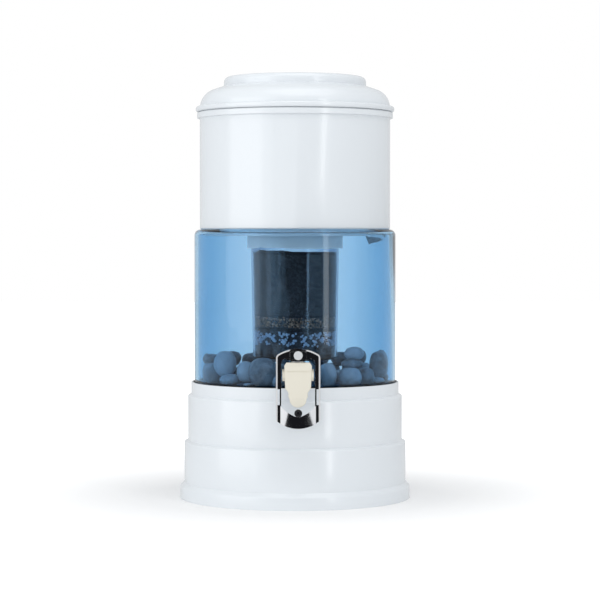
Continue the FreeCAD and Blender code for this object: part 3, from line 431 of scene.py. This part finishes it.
def moulded_skin_group():
    """Faint flow marks and a fine skin, as on injection-moulded plastic."""
    group, entry, leave = new_group(
        "moulded_skin",
        [("Tone", "NodeSocketColor", (0.8, 0.8, 0.8, 1)),
         ("Shade", "NodeSocketColor", (0.7, 0.7, 0.7, 1)),
         ("Gloss Low", "NodeSocketFloat", 0.2),
         ("Gloss High", "NodeSocketFloat", 0.3)],
        [("Color", "NodeSocketColor"), ("Roughness", "NodeSocketFloat"), ("Height", "NodeSocketFloat")])
    links = group.links
    flow = noise(group, FLOW_SCALE, detail=3.0)
    skin = noise(group, SKIN_SCALE)
    mix = colour_mix(group)
    gloss = map_range(group)
    links.new(flow.outputs["Fac"], mix.inputs["Factor"])
    links.new(entry.outputs["Tone"], mix.inputs["A"])
    links.new(entry.outputs["Shade"], mix.inputs["B"])
    links.new(flow.outputs["Fac"], gloss.inputs["Value"])
    links.new(entry.outputs["Gloss Low"], gloss.inputs["To Min"])
    links.new(entry.outputs["Gloss High"], gloss.inputs["To Max"])
    links.new(mix.outputs["Result"], leave.inputs["Color"])
    links.new(gloss.outputs["Result"], leave.inputs["Roughness"])
    links.new(skin.outputs["Fac"], leave.inputs["Height"])
    return group


def granules_group():
    """Grains of a loose bed: each cell has its own tone and a rounded height."""
    group, entry, leave = new_group(
        "granules",
        [("Dark", "NodeSocketColor", (0.01, 0.01, 0.01, 1)),
         ("Light", "NodeSocketColor", (0.1, 0.1, 0.1, 1)),
         ("Scale", "NodeSocketFloat", 600.0)],
        [("Color", "NodeSocketColor"), ("Height", "NodeSocketFloat")])
    nodes, links = group.nodes, group.links
    place = nodes.new("ShaderNodeTexCoord")
    cells = nodes.new("ShaderNodeTexVoronoi")
    set_inputs(cells, Randomness=1.0)
    tone = nodes.new("ShaderNodeSeparateColor")
    shade = math_node(group, "POWER")
    shade.inputs[1].default_value = GRAIN_CONTRAST
    mix = colour_mix(group)
    dome = math_node(group, "SUBTRACT")
    dome.inputs[0].default_value = 1.0
    links.new(place.outputs["Object"], cells.inputs["Vector"])
    links.new(entry.outputs["Scale"], cells.inputs["Scale"])
    links.new(cells.outputs["Color"], tone.inputs["Color"])
    links.new(tone.outputs["Red"], shade.inputs[0])
    links.new(shade.outputs["Value"], mix.inputs["Factor"])
    links.new(entry.outputs["Dark"], mix.inputs["A"])
    links.new(entry.outputs["Light"], mix.inputs["B"])
    links.new(cells.outputs["Distance"], dome.inputs[1])
    links.new(mix.outputs["Result"], leave.inputs["Color"])
    links.new(dome.outputs["Value"], leave.inputs["Height"])
    return group


def group_node(material, group):
    """A shader group's node in a material."""
    node = material.node_tree.nodes.new("ShaderNodeGroup")
    node.node_tree = group
    return node


def new_material(name, **values):
    """A material and its main shader, with the shader's inputs by name."""
    material = bpy.data.materials.new(name)
    material.use_nodes = True
    shader = material.node_tree.nodes["Principled BSDF"]
    set_inputs(shader, **values)
    return material, shader


def add_bump(material, shader, height, strength, depth):
    """Lets a height raise small bumps."""
    bump = material.node_tree.nodes.new("ShaderNodeBump")
    set_inputs(bump, Strength=strength, Distance=depth)
    material.node_tree.links.new(height, bump.inputs["Height"])
    material.node_tree.links.new(bump.outputs["Normal"], shader.inputs["Normal"])


def shaded(colour, share):
    """A colour that is darker by a share, or lighter by one over 1."""
    return tuple(channel * share for channel in colour)


def moulded(name, colour, low, high, bump=0.05, **values):
    """A moulded plastic with the shared skin, its roughness from low to high."""
    material, shader = new_material(name, **values)
    skin = group_node(material, GROUPS["skin"])
    set_inputs(skin, Tone=colour, Shade=shaded(colour, FLOW_SHADE), Gloss_Low=low, Gloss_High=high)
    links = material.node_tree.links
    links.new(skin.outputs["Color"], shader.inputs["Base Color"])
    links.new(skin.outputs["Roughness"], shader.inputs["Roughness"])
    add_bump(material, shader, skin.outputs["Height"], bump, SKIN_DEPTH)
    return material


def granular(name, dark, light, scale, depth, **values):
    """A bed of loose grains."""
    material, shader = new_material(name, **values)
    grains = group_node(material, GROUPS["granules"])
    set_inputs(grains, Dark=dark, Light=light, Scale=scale)
    material.node_tree.links.new(grains.outputs["Color"], shader.inputs["Base Color"])
    add_bump(material, shader, grains.outputs["Height"], GRAIN_BUMP, depth)
    return material


def see_through(name, tint, deep, rough, ior):
    """Clear tinted stock, deeper where it is seen at a slant. Lamps shine through it."""
    material, shader = new_material(name, Roughness=rough, IOR=ior, Transmission_Weight=1.0)
    nodes, links = material.node_tree.nodes, material.node_tree.links
    slant = nodes.new("ShaderNodeLayerWeight")
    set_inputs(slant, Blend=0.5)
    spread = map_range(material.node_tree, From_Max=FULL_SLANT)
    tone = colour_mix(material.node_tree, A=tint, B=deep)
    links.new(slant.outputs["Facing"], spread.inputs["Value"])
    links.new(spread.outputs["Result"], tone.inputs["Factor"])
    links.new(tone.outputs["Result"], shader.inputs["Base Color"])
    path = nodes.new("ShaderNodeLightPath")
    clear = nodes.new("ShaderNodeBsdfTransparent")
    set_inputs(clear, Color=tuple(channel ** SHADOW_TINT for channel in tint))
    mix = nodes.new("ShaderNodeMixShader")
    leave = nodes["Material Output"]
    links.new(path.outputs["Is Shadow Ray"], mix.inputs["Fac"])
    links.new(shader.outputs["BSDF"], mix.inputs[1])
    links.new(clear.outputs["BSDF"], mix.inputs[2])
    links.new(mix.outputs["Shader"], leave.inputs["Surface"])
    return material


# One operator for each piece or group of like pieces

class FilterOperator:
    """What the operators share: each makes its pieces from the scene's settings"""

    bl_options = {"REGISTER", "UNDO"}

    def execute(self, context):
        self.make(context.scene.filter_finishes, context.scene.filter_media)
        return {"FINISHED"}


class FILTER_OT_shader_groups(FilterOperator, bpy.types.Operator):
    """Builds the shader groups that several finishes share"""

    bl_idname = "filter.shader_groups"
    bl_label = "Shared shader groups"

    def make(self, finishes, media):
        GROUPS["skin"] = moulded_skin_group()
        GROUPS["granules"] = granules_group()


class FILTER_OT_white_mouldings(FilterOperator, bpy.types.Operator):
    """Finishes the lid, the upper tank and the stand"""

    bl_idname = "filter.white_mouldings"
    bl_label = "Lid, tank and stand"

    def make(self, finishes, media):
        white = moulded("white_plastic", tuple(finishes.white), low=0.16, high=0.24,
                        Coat_Weight=0.25, Coat_Roughness=0.08, Specular_IOR_Level=0.5)
        for node in ("lid", "upper_tank", "base_stand"):
            dress(node, "white_plastic", white, degrees=25)


class FILTER_OT_glass_vessel(FilterOperator, bpy.types.Operator):
    """Finishes the blue vessel"""

    bl_idname = "filter.glass_vessel"
    bl_label = "Blue vessel"

    def make(self, finishes, media):
        glass = see_through("blue_glass", tuple(finishes.blue), tuple(finishes.deep_blue),
                            rough=0.02, ior=1.3)
        dress("glass_vessel", "blue_glass", glass, degrees=40)


class FILTER_OT_seals(FilterOperator, bpy.types.Operator):
    """Finishes the rubber and silicone seals"""

    bl_idname = "filter.seals"
    bl_label = "Seals"

    def make(self, finishes, media):
        rubber = moulded("black_rubber", RUBBER_BLACK, low=0.45, high=0.6, bump=0.2)
        silicone = moulded("pale_silicone", SILICONE_WHITE, low=0.4, high=0.5, bump=0.1)
        for node in ("vessel_seat_ring", "cartridge_washer", "tap_outer_washer", "tap_inner_washer"):
            dress(node, "black_rubber", rubber)
        for node in ("ceramic_gasket", "valve_seal"):
            dress(node, "silicone", silicone)


class FILTER_OT_ceramic_filter(FilterOperator, bpy.types.Operator):
    """Finishes the ceramic dome, its pan and its nut"""

    bl_idname = "filter.ceramic_filter"
    bl_label = "Ceramic pre-filter"

    def make(self, finishes, media):
        ceramic = granular("fired_ceramic", CERAMIC_DARK, CERAMIC_LIGHT, scale=1500.0,
                           depth=0.05 * MM, Roughness=0.85)
        dress("ceramic_dome", "ceramic", ceramic, degrees=40)
        pan = moulded("pan_plastic", PAN_GREY, low=0.3, high=0.42)
        for node in ("ceramic_pan", "filter_nut"):
            dress(node, "pale_plastic", pan)


class FILTER_OT_cartridge_shell(FilterOperator, bpy.types.Operator):
    """Finishes the cartridge's cap, cup and fibre pads"""

    bl_idname = "filter.cartridge_shell"
    bl_label = "Cartridge cap, cup and pads"

    def make(self, finishes, media):
        cap = moulded("cap_plastic", CAP_WHITE, low=0.25, high=0.35)
        dress("cartridge_cap", "pale_plastic", cap, degrees=35)
        cup = see_through("clear_cup", CUP_TINT, CUP_DEEP, rough=0.03, ior=1.33)
        dress("cartridge_cup", "clear_cup", cup, degrees=40)
        felt = granular("fibre_felt", FELT_DARK, FELT_LIGHT, scale=1800.0, depth=0.2 * MM,
                        Roughness=0.95)
        for node in ("outlet_pad", "lower_pad", "upper_pad", "inlet_pad"):
            dress(node, "fibre_pad", felt)


class FILTER_OT_media(FilterOperator, bpy.types.Operator):
    """Fills the cartridge with carbon, mineral grains, balls and grit"""

    bl_idname = "filter.media"
    bl_label = "Cartridge media"

    def make(self, finishes, media):
        carbon = granular("carbon_grains", CARBON_DARK, CARBON_LIGHT, scale=900.0, depth=0.5 * MM,
                          Roughness=0.5, Specular_IOR_Level=0.6)
        grit = granular("dark_grit", GRIT_DARK, GRIT_LIGHT, scale=700.0, depth=0.6 * MM,
                        Roughness=0.55)
        dress("carbon_bed", "carbon", carbon)
        dress("grit_bed", "dark_grit", grit)
        ball = new_material("ceramic_balls", Base_Color=tuple(finishes.ball), Roughness=0.4)[0]
        grain = granular("mineral_grains", shaded(finishes.mineral, MINERAL_DARK_SHARE),
                         shaded(finishes.mineral, MINERAL_LIGHT_SHARE), scale=700.0, depth=0.2 * MM,
                         Roughness=0.7)
        self.bed("ball_bed", "dark_grit", grit, ball, media.ball_count,
                 radii=(media.ball_least, media.ball_most), detail=2, degrees=40, seed=BALL_SEED)
        self.bed("mineral_bed", "mineral", grit, grain, media.grain_count,
                 radii=(media.grain_radius * SMALL_GRAIN, media.grain_radius),
                 detail=1, degrees=15, seed=MINERAL_SEED)

    def bed(self, node, slot, core_finish, grain_finish, count, radii, detail, degrees, seed):
        """Puts grains round a core, in the space of the bed's own node."""
        low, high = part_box(node)
        outer = min(high.x, high.y)
        middle = Vector((0, 0, (low.z + high.z) / 2))
        bpy.ops.object.select_all(action="DESELECT")
        bpy.ops.mesh.primitive_cylinder_add(
            vertices=CORE_SIDES, radius=outer - radii[1] * CORE_INSET, depth=high.z - low.z,
            location=middle)
        core = added(node + "_filling")
        wear(core, core_finish, grain_finish)
        mesh = bmesh.new()
        mesh.from_mesh(core.data)
        bpy.ops.object.select_all(action="DESELECT")
        bpy.ops.mesh.primitive_ico_sphere_add(subdivisions=detail, radius=1.0)
        pattern = bpy.context.object
        chance = random.Random(seed)
        for _ in range(count):
            size = chance.uniform(*radii)
            turn = chance.uniform(0, math.tau)
            reach = outer - size - GRAIN_GAP
            height = chance.uniform(low.z + size, high.z - size)
            shape = Matrix.LocRotScale(
                (reach * math.cos(turn), reach * math.sin(turn), height),
                Matrix.Rotation(chance.uniform(0, math.tau), 3, "Y").to_quaternion(),
                Vector((size,
                        size * chance.uniform(FLATTEST_GRAIN, 1.0),
                        size * chance.uniform(FLATTEST_GRAIN, 1.0))))
            before = len(mesh.verts)
            faces = len(mesh.faces)
            mesh.from_mesh(pattern.data)
            mesh.verts.ensure_lookup_table()
            mesh.faces.ensure_lookup_table()
            bmesh.ops.transform(mesh, matrix=shape, verts=mesh.verts[before:])
            for face in mesh.faces[faces:]:
                face.material_index = 1
        mesh.to_mesh(core.data)
        mesh.free()
        bpy.data.objects.remove(pattern)
        smooth(core, degrees)
        stand_in(core, node)


class FILTER_OT_stones(FilterOperator, bpy.types.Operator):
    """Rounds the river stones on the vessel's floor"""

    bl_idname = "filter.stones"
    bl_label = "River stones"

    def make(self, finishes, media):
        stones = copy_of_node("pebbles", "river_stones")
        mesh = bmesh.new()
        mesh.from_mesh(stones.data)
        tone = mesh.verts.layers.float_color.new("stone_tone")
        chance = random.Random(STONE_SEED)
        for island in islands(mesh):
            middle = sum((vertex.co for vertex in island), Vector()) / len(island)
            share = chance.random() ** STONE_DARKENING
            for vertex in island:
                vertex.co = middle + (vertex.co - middle) * media.stone_swell
                vertex[tone] = (share, share, share, 1.0)
        mesh.to_mesh(stones.data)
        mesh.free()
        only(stones)
        rounding = stones.modifiers.new("rounding", "SUBSURF")
        rounding.levels = STONE_LEVELS
        rounding.render_levels = STONE_LEVELS
        dents = bpy.data.textures.new("stone_dents", "CLOUDS")
        dents.noise_scale = DENT_SIZE
        uneven = stones.modifiers.new("uneven", "DISPLACE")
        uneven.texture = dents
        uneven.strength = DENT_DEPTH
        uneven.mid_level = 0.5
        apply_all(stones)
        smooth(stones, degrees=80)
        wear(stones, self.finish(finishes))
        stand_in(stones, "pebbles")

    def finish(self, finishes):
        """Stone with its own tone, veins and specks."""
        material, shader = new_material("river_stone", Specular_IOR_Level=0.45)
        tree, links = material.node_tree, material.node_tree.links
        tone = tree.nodes.new("ShaderNodeAttribute")
        tone.attribute_name = "stone_tone"
        veins = noise(tree, VEIN_SCALE, detail=6.0)
        specks = noise(tree, SPECK_SCALE)
        add = math_node(tree, "MULTIPLY_ADD")
        add.inputs[1].default_value = STONE_TONE_WEIGHT
        spread = map_range(tree, From_Min=0.3, From_Max=1.1)
        mix = colour_mix(tree, A=tuple(finishes.stone_dark), B=tuple(finishes.stone_light))
        gloss = map_range(tree, To_Min=0.28, To_Max=0.5)
        links.new(tone.outputs["Fac"], add.inputs[0])
        links.new(veins.outputs["Fac"], add.inputs[2])
        links.new(add.outputs["Value"], spread.inputs["Value"])
        links.new(spread.outputs["Result"], mix.inputs["Factor"])
        links.new(mix.outputs["Result"], shader.inputs["Base Color"])
        links.new(veins.outputs["Fac"], gloss.inputs["Value"])
        links.new(gloss.outputs["Result"], shader.inputs["Roughness"])
        add_bump(material, shader, specks.outputs["Fac"], strength=0.35, depth=SPECK_DEPTH)
        return material


class FILTER_OT_tap_metal(FilterOperator, bpy.types.Operator):
    """Finishes the tap's chrome, steel and inner plastic pieces"""

    bl_idname = "filter.tap_metal"
    bl_label = "Tap metal"

    def make(self, finishes, media):
        chrome = self.metal("chrome", CHROME, low=0.03, high=0.07)
        steel = self.metal("plain_steel", STEEL, low=0.2, high=0.32)
        # painted dark reflection: a black finish where the chrome frame would mirror dark surroundings
        dark_reflection = moulded("channel_painted_reflection", PAINTED_REFLECTION_BLACK, low=0.2, high=0.3, Coat_Weight=0.1)
        inner = moulded("valve_plastic", VALVE_GREY, low=0.3, high=0.4)
        for node in ("tap_body", "tap_nut"):
            soften_edges(dress(node, "chrome", chrome, degrees=30), width=0.2 * MM, segments=2)
        for node in ("lever_pin", "frame_screw"):
            dress(node, "steel", steel)
        self.spring(steel)
        for node in ("tap_bonnet", "valve_plunger"):
            dress(node, "pale_plastic", inner)
        # painted highlight: a bright satin silver in place of the softboxes that the chrome lips mirror
        highlight_silver = new_material("frame_painted_highlight", Base_Color=PAINTED_HIGHLIGHT_SILVER, Metallic=0.35, Roughness=0.3)[0]
        rails = dress("tap_frame", "chrome", chrome, dark_reflection, highlight_silver, degrees=30)
        # front faces in the channel and on the boss get painted dark reflection, the other front faces
        # painted highlight
        for face in rails.data.polygons:
            if face.normal.y > FRONTWARD or face.center.y < APRON_FRONT_Y:
                continue
            in_channel = face.center.y > CHANNEL_FLOOR_Y - CHANNEL_PLAY
            on_boss = abs(face.center.x) < BOSS_HALF and face.center.z > BOSS_FOOT_Z
            face.material_index = PAINTED_REFLECTION_INDEX if in_channel or on_boss else PAINTED_HIGHLIGHT_INDEX
        # the rounded edges that the bevel makes also get the painted highlight
        soften_edges(rails, width=0.28 * MM, segments=3, finish_index=PAINTED_HIGHLIGHT_INDEX)

    def spring(self, steel):
        """The valve's spring, dressed and given a mesh of its own; the real spring shortens towards the
        bonnet as the plunger rises, which nothing here does.
        """
        coil = dress("valve_spring", "steel", steel, degrees=60)
        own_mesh(coil)

    def metal(self, name, colour, low, high):
        """A metal with faint smears, its roughness from low to high."""
        material, shader = new_material(name, Base_Color=colour, Metallic=1.0)
        tree, links = material.node_tree, material.node_tree.links
        smears = noise(tree, SMEAR_SCALE, detail=4.0)
        gloss = map_range(tree, To_Min=low, To_Max=high)
        links.new(smears.outputs["Fac"], gloss.inputs["Value"])
        links.new(gloss.outputs["Result"], shader.inputs["Roughness"])
        return material


class FILTER_OT_lever(FilterOperator, bpy.types.Operator):
    """Finishes the ivory lever, the badge and the black ball"""

    bl_idname = "filter.lever"
    bl_label = "Lever, badge and ball"

    def make(self, finishes, media):
        ivory = moulded("ivory_plastic", tuple(finishes.ivory), low=0.3, high=0.42, bump=0.12)
        paddle = dress("tap_lever", "ivory_plastic", ivory, degrees=30)
        soften_edges(paddle, width=0.4 * MM, segments=3)
        self.dots(finishes)
        silver = new_material("satin_silver", Base_Color=BADGE_SILVER, Metallic=0.15, Roughness=0.34)[0]
        soften_edges(dress("tap_badge", "silver", silver), width=0.3 * MM, segments=3)
        black = new_material("polished_black", Base_Color=BALL_BLACK, Roughness=0.1, IOR=1.3)[0]
        dress("ball_stud", "black_gloss", black, degrees=50)

    def dots(self, finishes):
        """A row of small dark dots across the tip of the paddle: painted shade that stands in for dimples.
        """
        low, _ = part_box("tap_lever")
        # painted shade: the dots take the ivory made darker, for the shade in the dimples
        shadow = new_material("dimple_shadow", Base_Color=shaded(finishes.ivory, DIMPLE_PAINTED_SHADE_SHARE),
                              Roughness=0.6)[0]
        row = []
        for number in range(DOT_COUNT):
            across = (number - (DOT_COUNT - 1) / 2) * DOT_PITCH
            bpy.ops.object.select_all(action="DESELECT")
            bpy.ops.mesh.primitive_ico_sphere_add(
                subdivisions=2, radius=DOT_RADIUS, location=(across, low.y + DOT_INSET, DOT_HEIGHT))
            row.append(bpy.context.object)
        for dot in row:
            dot.select_set(True)
        bpy.ops.object.join()
        line = added("lever_dimple_shade_dots")
        smooth(line, degrees=60)
        wear(line, shadow)
        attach(line, "lever")


class FILTER_OT_stage(bpy.types.Operator):
    """Sets up the sky, the floor, the dark cards, the lamps and the camera"""

    bl_idname = "filter.stage"
    bl_label = "Stage and camera"
    bl_options = {"REGISTER", "UNDO"}

    def execute(self, context):
        stage = context.scene.filter_stage
        context.scene.view_settings.view_transform = "Standard"
        self.world(context.scene, stage)
        self.floor()
        self.dark_card("card_behind_camera", place=(0.1, -stage.distance - CARD_SETBACK, 1.5),
                       size=(3.0, 3.1), degrees=90)
        self.dark_card("card_on_floor", place=(0.05, -1.65, CARD_RISE), size=(1.5, 2.1), degrees=0)
        self.lamp("left_softbox", azimuth=-62, distance=2.3, height=0.55, size=(1.9, 2.2), power=17.0)
        self.lamp("right_strip", azimuth=33.5, distance=2.4, height=0.45, size=(0.26, 2.2), power=6.5)
        self.lamp("top_softbox", azimuth=20, distance=0.9, height=2.3, size=(2.0, 2.0), power=13.0)
        fill = self.lamp("front_fill", azimuth=-8, distance=2.8, height=0.5, size=(1.2, 0.6), power=6.0)
        fill.visible_glossy = False
        self.camera(context.scene, stage)
        return {"FINISHED"}

    def world(self, scene, stage):
        """An even sky that the camera and the glass see as plain white."""
        world = bpy.data.worlds.new("even_sky")
        scene.world = world
        world.use_nodes = True
        nodes, links = world.node_tree.nodes, world.node_tree.links
        sky = nodes["Background"]
        set_inputs(sky, Color=SKY_WHITE, Strength=stage.sky)
        backdrop = nodes.new("ShaderNodeBackground")
        set_inputs(backdrop, Color=WHITE)
        path = nodes.new("ShaderNodeLightPath")
        seen = math_node(world.node_tree, "MAXIMUM")
        mix = nodes.new("ShaderNodeMixShader")
        links.new(path.outputs["Is Camera Ray"], seen.inputs[0])
        links.new(path.outputs["Is Transmission Ray"], seen.inputs[1])
        links.new(seen.outputs["Value"], mix.inputs["Fac"])
        links.new(sky.outputs["Background"], mix.inputs[1])
        links.new(backdrop.outputs["Background"], mix.inputs[2])
        links.new(mix.outputs["Shader"], nodes["World Output"].inputs["Surface"])

    def floor(self):
        """A floor that glows more with distance for the camera, and is plain white through the glass."""
        bpy.ops.object.select_all(action="DESELECT")
        bpy.ops.mesh.primitive_plane_add(size=FLOOR_SIZE, location=(0, 0, -FLOOR_DROP))
        floor = bpy.context.object
        floor.name = "floor"
        material, shader = new_material(
            "white_floor", Base_Color=FLOOR_WHITE, Roughness=1.0, Specular_IOR_Level=0.0,
            Emission_Color=WHITE)
        tree, nodes, links = material.node_tree, material.node_tree.nodes, material.node_tree.links
        path = nodes.new("ShaderNodeLightPath")
        tone = colour_mix(tree, A=FLOOR_WHITE, B=BLACK)
        place = nodes.new("ShaderNodeTexCoord")
        reach = nodes.new("ShaderNodeVectorMath")
        reach.operation = "LENGTH"
        glow = map_range(tree, From_Min=GLOW_NEAR, From_Max=GLOW_FAR, To_Min=FLOOR_GLOW,
                         To_Max=HORIZON_GLOW)
        lift = map_range(tree, To_Min=0.0)
        links.new(place.outputs["Object"], reach.inputs[0])
        links.new(reach.outputs["Value"], glow.inputs["Value"])
        links.new(glow.outputs["Result"], lift.inputs["To Max"])
        whole = math_node(tree, "MAXIMUM")
        links.new(path.outputs["Is Transmission Ray"], tone.inputs["Factor"])
        links.new(tone.outputs["Result"], shader.inputs["Base Color"])
        links.new(path.outputs["Is Camera Ray"], lift.inputs["Value"])
        links.new(lift.outputs["Result"], whole.inputs[0])
        links.new(path.outputs["Is Transmission Ray"], whole.inputs[1])
        links.new(whole.outputs["Value"], shader.inputs["Emission Strength"])
        wear(floor, material)

    def dark_card(self, name, place, size, degrees):
        """A black card before the filter that only polished and clear surfaces show."""
        bpy.ops.object.select_all(action="DESELECT")
        bpy.ops.mesh.primitive_plane_add(size=1.0, location=place, rotation=(math.radians(degrees), 0, 0))
        card = bpy.context.object
        card.name = name
        card.scale = (*size, 1.0)
        wear(card, new_material(name + "_black", Base_Color=CARD_BLACK, Roughness=1.0,
                                Specular_IOR_Level=0.0)[0])
        card.visible_camera = False
        card.visible_diffuse = False
        card.visible_shadow = False

    def lamp(self, name, azimuth, distance, height, size, power):
        """An area lamp that points at the filter's middle, its azimuth in degrees."""
        turn = math.radians(azimuth)
        place = Vector((distance * math.sin(turn), -distance * math.cos(turn), height))
        data = bpy.data.lights.new(name, "AREA")
        data.shape = "RECTANGLE"
        data.size, data.size_y = size
        data.energy = power
        lamp = bpy.data.objects.new(name, data)
        bpy.context.scene.collection.objects.link(lamp)
        lamp.location = place
        lamp.rotation_euler = (Vector((0, 0, LAMP_AIM_HEIGHT)) - place).to_track_quat("-Z", "Y").to_euler()
        return lamp

    def camera(self, scene, stage):
        """The camera, at its distance and azimuth round the filter's axis."""
        data = bpy.data.cameras.new("camera")
        data.lens = stage.lens
        data.sensor_width = SENSOR_WIDTH
        data.clip_end = VIEW_END
        camera = bpy.data.objects.new("camera", data)
        scene.collection.objects.link(camera)
        back = Vector((math.sin(stage.azimuth), -math.cos(stage.azimuth), 0))
        right = Vector((math.cos(stage.azimuth), math.sin(stage.azimuth), 0))
        place = back * stage.distance + Vector((0, 0, stage.eye_height))
        aim = right * stage.aside
        aim.z = stage.eye_height - stage.distance * math.tan(stage.tilt)
        camera.location = place
        camera.rotation_euler = (aim - place).to_track_quat("-Z", "Y").to_euler()
        scene.camera = camera


OPERATORS = (
    FILTER_OT_shader_groups,
    FILTER_OT_white_mouldings,
    FILTER_OT_glass_vessel,
    FILTER_OT_seals,
    FILTER_OT_ceramic_filter,
    FILTER_OT_cartridge_shell,
    FILTER_OT_media,
    FILTER_OT_stones,
    FILTER_OT_tap_metal,
    FILTER_OT_lever,
    FILTER_OT_stage,
)


class FILTER_PT_panel(bpy.types.Panel):
    """Lists the steps that build the filter's look"""

    bl_label = "Water Filter"
    bl_space_type = "VIEW_3D"
    bl_region_type = "UI"
    bl_category = "Water Filter"

    def draw(self, context):
        for group in (context.scene.filter_finishes, context.scene.filter_media, context.scene.filter_stage):
            for name in group.bl_rna.properties.keys():
                if name not in ("rna_type", "name"):
                    self.layout.prop(group, name)
        for operator in OPERATORS:
            self.layout.operator(operator.bl_idname)


CLASSES = (FilterFinishes, FilterMedia, FilterStage, *OPERATORS, FILTER_PT_panel)


def register():
    for cls in CLASSES:
        bpy.utils.register_class(cls)
    bpy.types.Scene.filter_finishes = PointerProperty(type=FilterFinishes)
    bpy.types.Scene.filter_media = PointerProperty(type=FilterMedia)
    bpy.types.Scene.filter_stage = PointerProperty(type=FilterStage)


def unregister():
    del bpy.types.Scene.filter_stage
    del bpy.types.Scene.filter_media
    del bpy.types.Scene.filter_finishes
    for cls in reversed(CLASSES):
        bpy.utils.unregister_class(cls)


def main():
    register()
    bpy.ops.filter.shader_groups()
    bpy.ops.filter.white_mouldings()
    bpy.ops.filter.glass_vessel()
    bpy.ops.filter.seals()
    bpy.ops.filter.ceramic_filter()
    bpy.ops.filter.cartridge_shell()
    bpy.ops.filter.media()
    bpy.ops.filter.stones()
    bpy.ops.filter.tap_metal()
    bpy.ops.filter.lever()
    bpy.ops.filter.stage()


if __name__ == "__main__":
    main()
